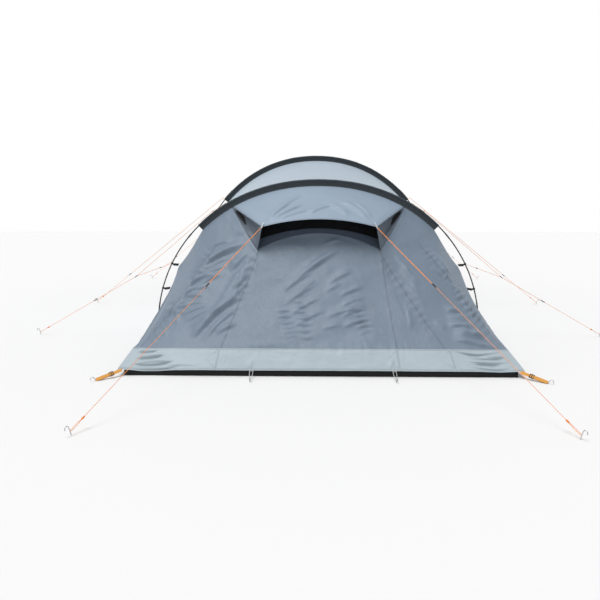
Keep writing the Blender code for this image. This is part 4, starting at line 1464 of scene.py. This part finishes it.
def build_hoop(place, hoop):
    path = [hoop_frame(hoop, step)[0] for step in np.linspace(0, HOOP_STEPS, 289)]
    tube_object(f"hoop_rod_{place}", path, ROD_RADIUS, "rod", sides=16,
                replaces=(f"hoop_pole_{place}",))
    for number, step in enumerate(FERRULE_STEPS):
        middle = [hoop_frame(hoop, step + k)[0] for k in (-0.22, -0.21, -0.1, 0, 0.1, 0.21, 0.22)]
        size = ROD_RADIUS + np.array([0.0004, 0.0011, 0.0012, 0.0012, 0.0012, 0.0011, 0.0004])
        tube_object(f"ferrule_{place}_{number}", middle, size, "rod", sides=16)
    for mirror, side in SIDES:
        foot = np.array([mirror * HOOP_HALF_WIDTH, HOOP_Y[hoop], ROD_FOOT_Z])
        tip = [foot + (0, 0, rise) for rise in (0.0, 0.002, 0.012, 0.030, 0.042, 0.046)]
        size = np.array([0.0050, 0.0078, 0.0082, 0.0080, 0.0074, 0.0060])
        tube_object(f"pole_tip_{place}_{side}", tip, size, "plastic", sides=16)
        start = foot + (0, 0, 0.016)
        fly_foot = np.array([mirror * (REAR.foot_x - 0.004), HOOP_Y[hoop], HEM_Z + 0.004])
        tape = [start - (mirror * 0.007, 0, 0), (start + fly_foot) / 2 - (0, 0, 0.004), fly_foot]
        ribbon_object(f"foot_tape_{place}_{side}", smooth_path(tape, 0.006), (0, 1, 0), 0.020, 0.0016,
                      "black_webbing")


def sleeve_outline():
    """(up, side) points round a sleeve: its tube, SLEEVE_TUBE points, and the doubled flange below it."""
    turns = np.radians(np.linspace(-58, 238, SLEEVE_TUBE))
    skin = [(SLEEVE_SKIN * math.sin(turn), SLEEVE_SKIN * math.cos(turn)) for turn in turns]
    flange = [(-0.016, 0.0016), (-0.028, 0.0014), (-0.040, 0.0013), (-0.054, 0.0012), (-SLEEVE_REACH, 0.0011)]
    return np.array(skin + [(up, -side) for up, side in flange] + flange[::-1])


def build_sleeve(place, hoop):
    """The sleeve's outer skin, and an inner ring of as many points round the rod."""
    outline = sleeve_outline()
    size = len(outline)
    frames = [hoop_frame(hoop, step) for step in np.linspace(SLEEVE_STEP, HOOP_STEPS - SLEEVE_STEP, 331)]
    origins, ups, sides = (np.array(vectors)[:, None] for vectors in zip(*frames))
    run = distances(origins[:, 0])[:, None]
    girth = distances(outline)
    a, b = outline.T
    slack = 0.0016 * lattice_noise((run + 0.5 * a) / 0.028, a / 0.03 + 0 * run, 201 + hoop)
    slack += 0.0012 * lattice_noise((run - 0.8 * a) / 0.09, a / 0.05 + 0 * run, 211 + hoop)
    on_flange = (np.arange(size) >= SLEEVE_TUBE) | (a < -0.008)
    sideways = np.where(on_flange, np.copysign(1.0, b), b / SLEEVE_SKIN)
    loose = 1 - np.clip(-a / SLEEVE_DEPTH, 0, 1)
    swell = np.abs(slack * np.sin(math.pi / 2 * loose + 0.2))
    up = a + np.where(a > 0, 0.4 * slack, 0)
    skin = origins + ups * up[..., None] + sides * (b + sideways * swell)[..., None]
    turns = np.linspace(math.radians(-58), math.radians(302), size, endpoint=False)
    ring = origins + SLEEVE_BORE * (ups * np.sin(turns)[:, None] + sides * np.cos(turns)[:, None])
    points = np.concatenate([skin, ring], axis=1).reshape(-1, 3)
    uv = tags((len(frames), 2 * size), run, np.concatenate([girth, 0.009 * turns])).reshape(-1, 2)
    faces = []
    for here in range(0, (len(frames) - 1) * 2 * size, 2 * size):
        for k in range(size):
            next_k, there = (k + 1) % size, here + 2 * size
            faces.append((here + k, here + next_k, there + next_k, there + k))
            faces.append((here + size + next_k, here + size + k, there + size + k, there + size + next_k))
    for base, way in ((0, 1), ((len(frames) - 1) * 2 * size, -1)):
        for k in range(size):
            next_k = (k + 1) % size
            faces.append((base + next_k, base + k, base + size + k, base + size + next_k)[::way])
    # The flange's stitches run along its upper edge.
    off = np.abs(uv[:, 1] - girth[SLEEVE_TUBE + 1])
    off = np.where(uv[:, 1] <= girth[SLEEVE_TUBE + 5], off, FAR_FROM_SEAM)
    solid_object(f"sleeve_{place}", points, faces, uv, "sleeve", replaces=(f"pole_sleeve_{place}",),
                 seam=np.stack([uv[:, 0], off], axis=-1))


def build_clip(place, level, side, mirror, hoop):
    """A snap hook round the pole, its flat shank, and the tape that holds it to the fly."""
    origin, outward, along = hoop_frame(hoop, CLIP_STEPS[level], mirror)
    tangent = np.cross(outward, along)
    name = f"{place}_{level}_{side}"
    width, middle, opening = 0.016, 0.0083, 42
    ring = np.radians(np.linspace(opening, 360 - opening, 25))
    section = [(0.0014 * rounded(math.cos(turn), 0.6), width / 2 * rounded(math.sin(turn), 0.35))
               for turn in np.linspace(0, 2 * math.pi, 16, endpoint=False)]
    points, uv = [], []
    for k, turn in enumerate(ring):
        fade = math.sqrt(max(0.05, 1 - (abs(k - 12) / 12.4) ** 8))
        across = outward * math.sin(turn) + along * math.cos(turn)
        for thick, wide in section:
            points.append(origin + across * (middle + thick * fade) + tangent * wide)
            uv.append((wide, turn * middle))
    solid_object(f"snap_hook_{name}", points, ring_faces(len(ring), len(section)), uv, "plastic",
                 replaces=(f"clip_{name}",))
    shank = ((0.0090, 0.012, 0.0040), (0.0105, 0.016, 0.0044), (0.0140, 0.016, 0.0040),
             (0.0200, 0.020, 0.0046), (0.0235, 0.020, 0.0046), (0.0245, 0.016, 0.0030))
    points, uv = [], []
    for down, wide, thick in shank:
        for turn in np.linspace(0, 2 * math.pi, 20, endpoint=False):
            a, b = rounded(math.cos(turn), 0.4) * wide / 2, rounded(math.sin(turn), 0.4) * thick / 2
            points.append(origin - outward * down + tangent * a + along * b)
            uv.append((a, b))
    solid_object(f"hook_shank_{name}", points, ring_faces(len(shank), 20), uv, "plastic")
    inward = float(scallop(np.array(math.pi * CLIP_STEPS[level] / HOOP_STEPS)))
    stations = ((0.021, 0, 0), (0.034, 0.001, 0.005), (0.050, 0, 0.012), (0.068 + inward, 0, 0.020))
    path = smooth_path([origin - outward * down + (0, y, z) for down, y, z in stations], 0.003)
    ribbon_object(f"clip_tape_{name}", path, tangent, 0.024, 0.0018, "black_webbing")


# ---- guys, pegs and straps ----------------------------------------------------------

# As in the CAD model: points from the upper end to the last one above the ground, the peg on
# the ground, and the tensioner's place along the last straight stretch. The rear guys are Vs.
GUYS = {
    "guy_vent": (((0.455, -1.732, 1.005),), (1.33, -3.26), 0.37),
    "guy_rear": (((0.914, -1.26, 1.133), (1.63, -1.26, 0.545)), (2.55, -1.26), 0.42),
    "guy_middle": (((1.07, 0.18, 1.245),), (2.62, 0.18), 0.735),
    "guy_front": (((1.07, 2.10, 1.228),), (2.55, 2.10), 0.735),
}
GUY_HOOP = {"guy_rear": (0, 10.45), "guy_middle": (1, 8.95), "guy_front": (2, 8.95)}
GUY_END_Z = 0.028
TENSIONER_SKIN, TENSIONER_LENGTH = 0.0075, 0.042
PEG_RADIUS, PEG_HEIGHT = 0.0025, 0.050
V_JOIN_GAP = 0.014
LOOP_LENGTH, LOOP_HALF_WIDTH = 0.085, 0.0065
STRAP_START, STRAP_END = (1.408, 2.358, 0.040), (1.535, 2.452, 0.005)
HEM_LOOPS = ((-0.48, -1), (0.52, -1), (-0.62, 1), (0.62, 1))


def on_side(point, mirror):
    return np.array([mirror * point[0], *point[1:]])


def turned_piece(name, place, direction, stations, kind, bore, body=BODY, flat=1.0, power=1.0):
    """A moulding along a line: stations of (distance, radius), flattened, with a hole through it."""
    direction = unit(direction)
    side = unit(np.cross(direction, (0, 0, 1)))
    up = np.cross(side, direction)
    size = 24
    turns = np.linspace(0, 2 * math.pi, size, endpoint=False)

    def ring(distance, radius, squeeze, corner):
        return [place + direction * distance + side * rounded(math.cos(t), corner) * radius
                + up * rounded(math.sin(t), corner) * radius * squeeze for t in turns]

    rings = [ring(distance, radius, flat, power) for distance, radius in stations]
    rings += [ring(distance, bore, 1.0, 1.0) for distance in (stations[-1][0], stations[0][0])]
    points = np.array(rings).reshape(-1, 3)
    faces = ring_faces(len(rings), size, closed_ends=False)
    last = (len(rings) - 1) * size
    faces += [(last + k, last + (k + 1) % size, (k + 1) % size, k) for k in range(size)]
    return solid_object(name, points, faces, np.zeros((len(points), 2)), kind, body)


def build_tensioner(name, place, direction, body):
    """A flat slider with finger ridges, wider at both ends than at its waist."""
    half = TENSIONER_LENGTH / 2
    stations = []
    for share in np.linspace(-1, 1, 29):
        rounded = max(0.02, 1 - abs(share) ** 6) ** 0.5
        waist = 0.80 + 0.20 * abs(share) ** 1.5
        ridge = 1 + 0.07 * math.cos(share * math.pi * 7) * (abs(share) < 0.75)
        stations.append((share * half, max(0.0036, TENSIONER_SKIN * rounded * waist * ridge)))
    slider = turned_piece(f"{name}_slider", place, direction, stations, "plastic", 0.0030, body, 0.62, 0.75)
    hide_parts(name)
    return slider


def build_small_slider(name, place, direction, length=0.022):
    stations = [(share * length / 2, 0.0056 * max(0.5, 1 - abs(share) ** 4) * (1 - 0.15 * math.cos(share * 3)))
                for share in np.linspace(-1, 1, 15)]
    return turned_piece(name, place, direction, stations, "plastic", 0.0022, flat=0.7, power=0.8)


def build_bead(name, place, direction):
    stations = [(share * 0.013, 0.0052 * max(0.55, 1 - abs(share) ** 5)) for share in np.linspace(-1, 1, 15)]
    return turned_piece(name, place, direction, stations, "toggle", 0.0022, power=0.9)


def build_peg(name, ground, away, replaces=(), height=PEG_HEIGHT):
    """A hooked pin, from the ground up: its shaft, then the bend of its head and the hook's end."""
    base = ground + (0, 0, 0.003)
    shaft = base + away * 0.012 + (0, 0, height)
    head = ((0.004, 0.0045), (0.011, 0.006), (0.018, 0.003), (0.0215, -0.005), (0.022, -0.014))
    corners = [base + (shaft - base) * share for share in (0, 0.5, 0.9)]
    corners += [shaft + away * out + (0, 0, rise) for out, rise in head]
    return tube_object(name, smooth_path(corners, 0.002), PEG_RADIUS, "steel", sides=12,
                       replaces=replaces)


def build_guy(name, side, mirror, route, peg, share):
    held = [on_side(point, mirror) for point in route]
    ground = np.array([mirror * peg[0], peg[1], 0.0])
    away = unit([ground[0] - held[0][0], ground[1] - held[0][1], 0])
    lower = ground - away * 0.003 + (0, 0, GUY_END_Z)
    run = unit(lower - held[-1])
    crosswise = unit(np.cross(run, (0, 0, 1)))
    place = held[-1] + (lower - held[-1]) * share
    body = f"{name}_tensioner_{side}_body"
    slider = build_tensioner(f"{name}_tensioner_{side}", place, run, body)
    bead_at = lower - run * LOOP_LENGTH
    peg_piece = build_peg(f"{name}_hook_peg_{side}", ground, away, (f"{name}_peg_{side}",))
    beside = PEG_RADIUS + GUY_RADIUS + 0.0006
    widest = lower - run * LOOP_LENGTH * 0.4
    down_leg = smooth_path([bead_at, bead_at + run * 0.02 + crosswise * 0.003,
                            widest + crosswise * LOOP_HALF_WIDTH, lower + crosswise * beside], 0.006)
    main = np.concatenate([straight_path(held + [bead_at], 0.09), down_leg[1:]])
    past = lower + away * (0.006 + beside)
    back_leg = smooth_path([bead_at, bead_at + run * 0.02 - crosswise * 0.003,
                            widest - crosswise * LOOP_HALF_WIDTH, lower - crosswise * beside,
                            past, lower + crosswise * (beside - 0.0005) + away * 0.002], 0.004)
    cord = tube_object(f"{name}_cord_{side}", main, GUY_RADIUS, "guy", sides=8,
                       replaces=(f"{name}_{side}",))
    loop = tube_object(f"{name}_loop_{side}", back_leg, GUY_RADIUS, "guy", sides=8)
    bead = build_bead(f"{name}_bead_{side}", bead_at, run)
    top = held[-1]
    reach = float(np.linalg.norm(place - top)) - TENSIONER_LENGTH / 2 + 0.004
    shares = np.linspace(0, 1, 24)
    spread_out = (0.0034 + 0.0045 * np.sin(np.pi * shares))[:, None]
    second = top + run * 0.004 + run * ((reach - 0.004) * shares)[:, None] + crosswise * spread_out
    strand = tube_object(f"{name}_return_strand_{side}", second, GUY_RADIUS, "guy", sides=8, body=None)
    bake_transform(strand)


def build_v_strand(side, mirror):
    meet = on_side(GUYS["guy_rear"][0][1], mirror)
    clip = hoop_frame(0, CLIP_STEPS["upper"], mirror)[0]
    run = unit(meet - clip)
    path = straight_path([clip + run * 0.016, meet - run * V_JOIN_GAP], 0.02)
    strand = tube_object(f"guy_rear_v_strand_{side}", path, GUY_RADIUS, "guy", sides=8,
                         replaces=(f"guy_rear_lower_strand_{side}",))
    small = build_small_slider(f"guy_rear_v_slider_{side}", path[0] + (path[-1] - path[0]) * 0.30, run)
    upper_run = meet - on_side(GUYS["guy_rear"][0][0], mirror)
    join = build_small_slider(f"guy_rear_v_join_{side}", meet, upper_run, 0.030)


def build_guy_tab(name, side, mirror):
    """The orange tape sewn to the sleeve, which holds the guy's upper end."""
    hoop, step = GUY_HOOP[name]
    held = on_side(GUYS[name][0][0], mirror)
    path = []
    for along in np.linspace(1.15, 0, 16):
        origin, outward, _ = hoop_frame(hoop, step + along, mirror)
        path.append(origin + outward * (SLEEVE_SKIN + 0.0022))
    path = np.array(path)
    end = smooth_path([path[-1], path[-1] * 0.45 + held * 0.55 + (0, 0, 0.002), held], 0.004)
    path = np.concatenate([path, end[1:]])
    ribbon_object(f"{name}_tab_{side}", path, (0, 1, 0), 0.012, 0.0018, "orange_webbing")


def build_hood_corner(side, mirror):
    """A grey tape sewn into the hood's corner, with the ring that the guy is tied to."""
    corner = on_side(HOOD_CORNER, mirror)
    held = on_side(GUYS["guy_vent"][0][0], mirror)
    out = unit(held - corner)
    inner = corner - out * 0.030 + (0, 0, 0.022)
    path = smooth_path([inner, corner + (0, 0, 0.003), held - out * 0.002], 0.003)
    ribbon_object(f"hood_tab_{side}", path, (mirror * 0.7, 0.7, 0), 0.014, 0.0016, "grey_elastic")
    turns = np.linspace(0, 2 * math.pi, 33)
    across = unit(np.cross(out, (0, 0, 1)))
    ring = [held + out * (0.009 * math.cos(turn)) + across * (0.009 * math.sin(turn)) for turn in turns]
    tube_object(f"hood_ring_{side}", ring, 0.0016, "steel", sides=10)


def build_corner_strap(place, side, mirror_x, mirror_y):
    """Ground tape at a corner: sewn end, ladder buckle, doubled loop, and its peg."""
    start, end = (np.array([mirror_x * x, mirror_y * y, z]) for x, y, z in (STRAP_START, STRAP_END))
    run = unit(end - start)
    across = unit(np.cross(run, (0, 0, 1)))
    across = across if across[1] * mirror_y > 0 else -across
    up = np.cross(across, run)
    up = up if up[2] > 0 else -up
    roll = math.radians(38)
    across, up = across * math.cos(roll) - up * math.sin(roll), up * math.cos(roll) + across * math.sin(roll)
    name = f"corner_strap_{place}_{side}"

    def strap_tape(part, stations, replaces=()):
        path = [start + (end - start) * share + up * lift for share, lift in stations]
        ribbon_object(f"{name}_{part}", smooth_path(path, 0.004), across, 0.025, 0.0017,
                      "orange_webbing", replaces)

    strap_tape("tape", ((-0.10, 0.004), (0.0, 0.001), (0.25, 0.002), (0.45, 0.000), (0.7, 0.001),
                        (0.93, 0.003)), (name,))
    strap_tape("loop", ((0.30, 0.0045), (0.42, 0.0060), (0.60, 0.0075), (0.80, 0.0080), (0.95, 0.0068),
                        (1.02, 0.0056)))
    middle = start + (end - start) * 0.36 + up * 0.0035
    rail_size, bar_size = (0.0016, 0.0026, 0.0028, 0.0026, 0.0016), 0.0024
    bars = [([middle + across * s * 0.0150 + run * d for d in (-0.016, -0.014, 0.0, 0.014, 0.016)], rail_size)
            for s in (-1, 1)]
    bars += [([middle + across * s * 0.0155 + run * d + up * lift for s in (-1, -0.5, 0, 0.5, 1)], bar_size)
             for d, lift in ((-0.013, 0.001), (0.0, 0.0045), (0.013, 0.002))]
    for k, (path, size) in enumerate(bars):
        tube_object(f"{name}_buckle_{k}", path, size, "plastic", sides=12)
    away = unit([run[0], run[1], 0])
    build_peg(f"{name}_peg", end * (1, 1, 0) + away * 0.004, away, height=0.022)


def build_hem_loop(number, x, end_sign):
    """A grey elastic loop from the hem to its peg, and the tab that it hangs from."""
    ground = np.array([x, end_sign * 2.440, 0.0])
    peg = build_peg(f"hem_peg_{number}", ground, np.array([0, end_sign, 0.0]), height=0.026)
    top, half, radius = np.array([x, end_sign * 2.352, 0.058]), 0.011, 0.0019
    side = [(top, 1, 0, 0), (top, 1.05, 0.020, -0.022),
            (ground, 0.75, -0.025, 0.021), (ground, 0.45, 0.002, 0.012)]
    legs = [[base + (way * half * share, end_sign * y, z) for base, share, y, z in side] for way in (-1, 1)]
    path = smooth_path(legs[0] + [ground + (0, end_sign * 0.0105, 0.010)] + legs[1][::-1], 0.004)
    loop = tube_object(f"hem_loop_{number}", path, radius, "grey_elastic", sides=10)
    slope, middle = REAR if end_sign < 0 else FRONT, np.array(math.pi / 2)
    hem_up = unit(slope.point(middle, 0.9) - slope.point(middle, 1.0))
    out = unit(np.cross(hem_up, (end_sign * -1.0, 0, 0)))
    base = np.array([x, end_sign * 2.350, HEM_Z])
    stations = ((0.034, 0.0030), (0.020, 0.0034), (0.006, 0.0040), (-0.004, 0.0042))
    tab = smooth_path([base + hem_up * d + out * o for d, o in stations], 0.004)
    ribbon_object(f"hem_tab_{number}", tab, (1, 0, 0), 0.028, 0.0014, "grey_elastic")


# ---- the whole tent ------------------------------------------------------------------

make_camera()
make_world()
make_floor()
soft_lamp("key", (0.24, 0.18, -1.0), 2.60, 34)
bpy.context.scene.view_settings.view_transform = "Standard"

MATERIALS = make_materials()

for mirror, side in SIDES:
    for guy, (route, peg, share) in GUYS.items():
        build_guy(guy, side, mirror, route, peg, share)
        if guy in GUY_HOOP:
            build_guy_tab(guy, side, mirror)
    build_v_strand(side, mirror)
    build_hood_corner(side, mirror)
    build_corner_strap("rear", side, mirror, -1)
    build_corner_strap("front", side, mirror, 1)
for number, (x, end_sign) in enumerate(HEM_LOOPS):
    build_hem_loop(number, x, end_sign)

build_rear_wall()
build_rear_hem()
build_vent()
build_vent_hood()
build_bay("fly_rear_bay", "fly_light", 0, 121)
build_bay("fly_front_bay", "fly", 1, 141)
build_front_wall()
build_front_door()
build_zip_slider()
build_groundsheet()
build_inner_tent()
for hoop, place in enumerate(PLACES):
    build_hoop(place, hoop)
    build_sleeve(place, hoop)
    for level in CLIP_STEPS:
        for mirror, side in SIDES:
            build_clip(place, level, side, mirror, hoop)
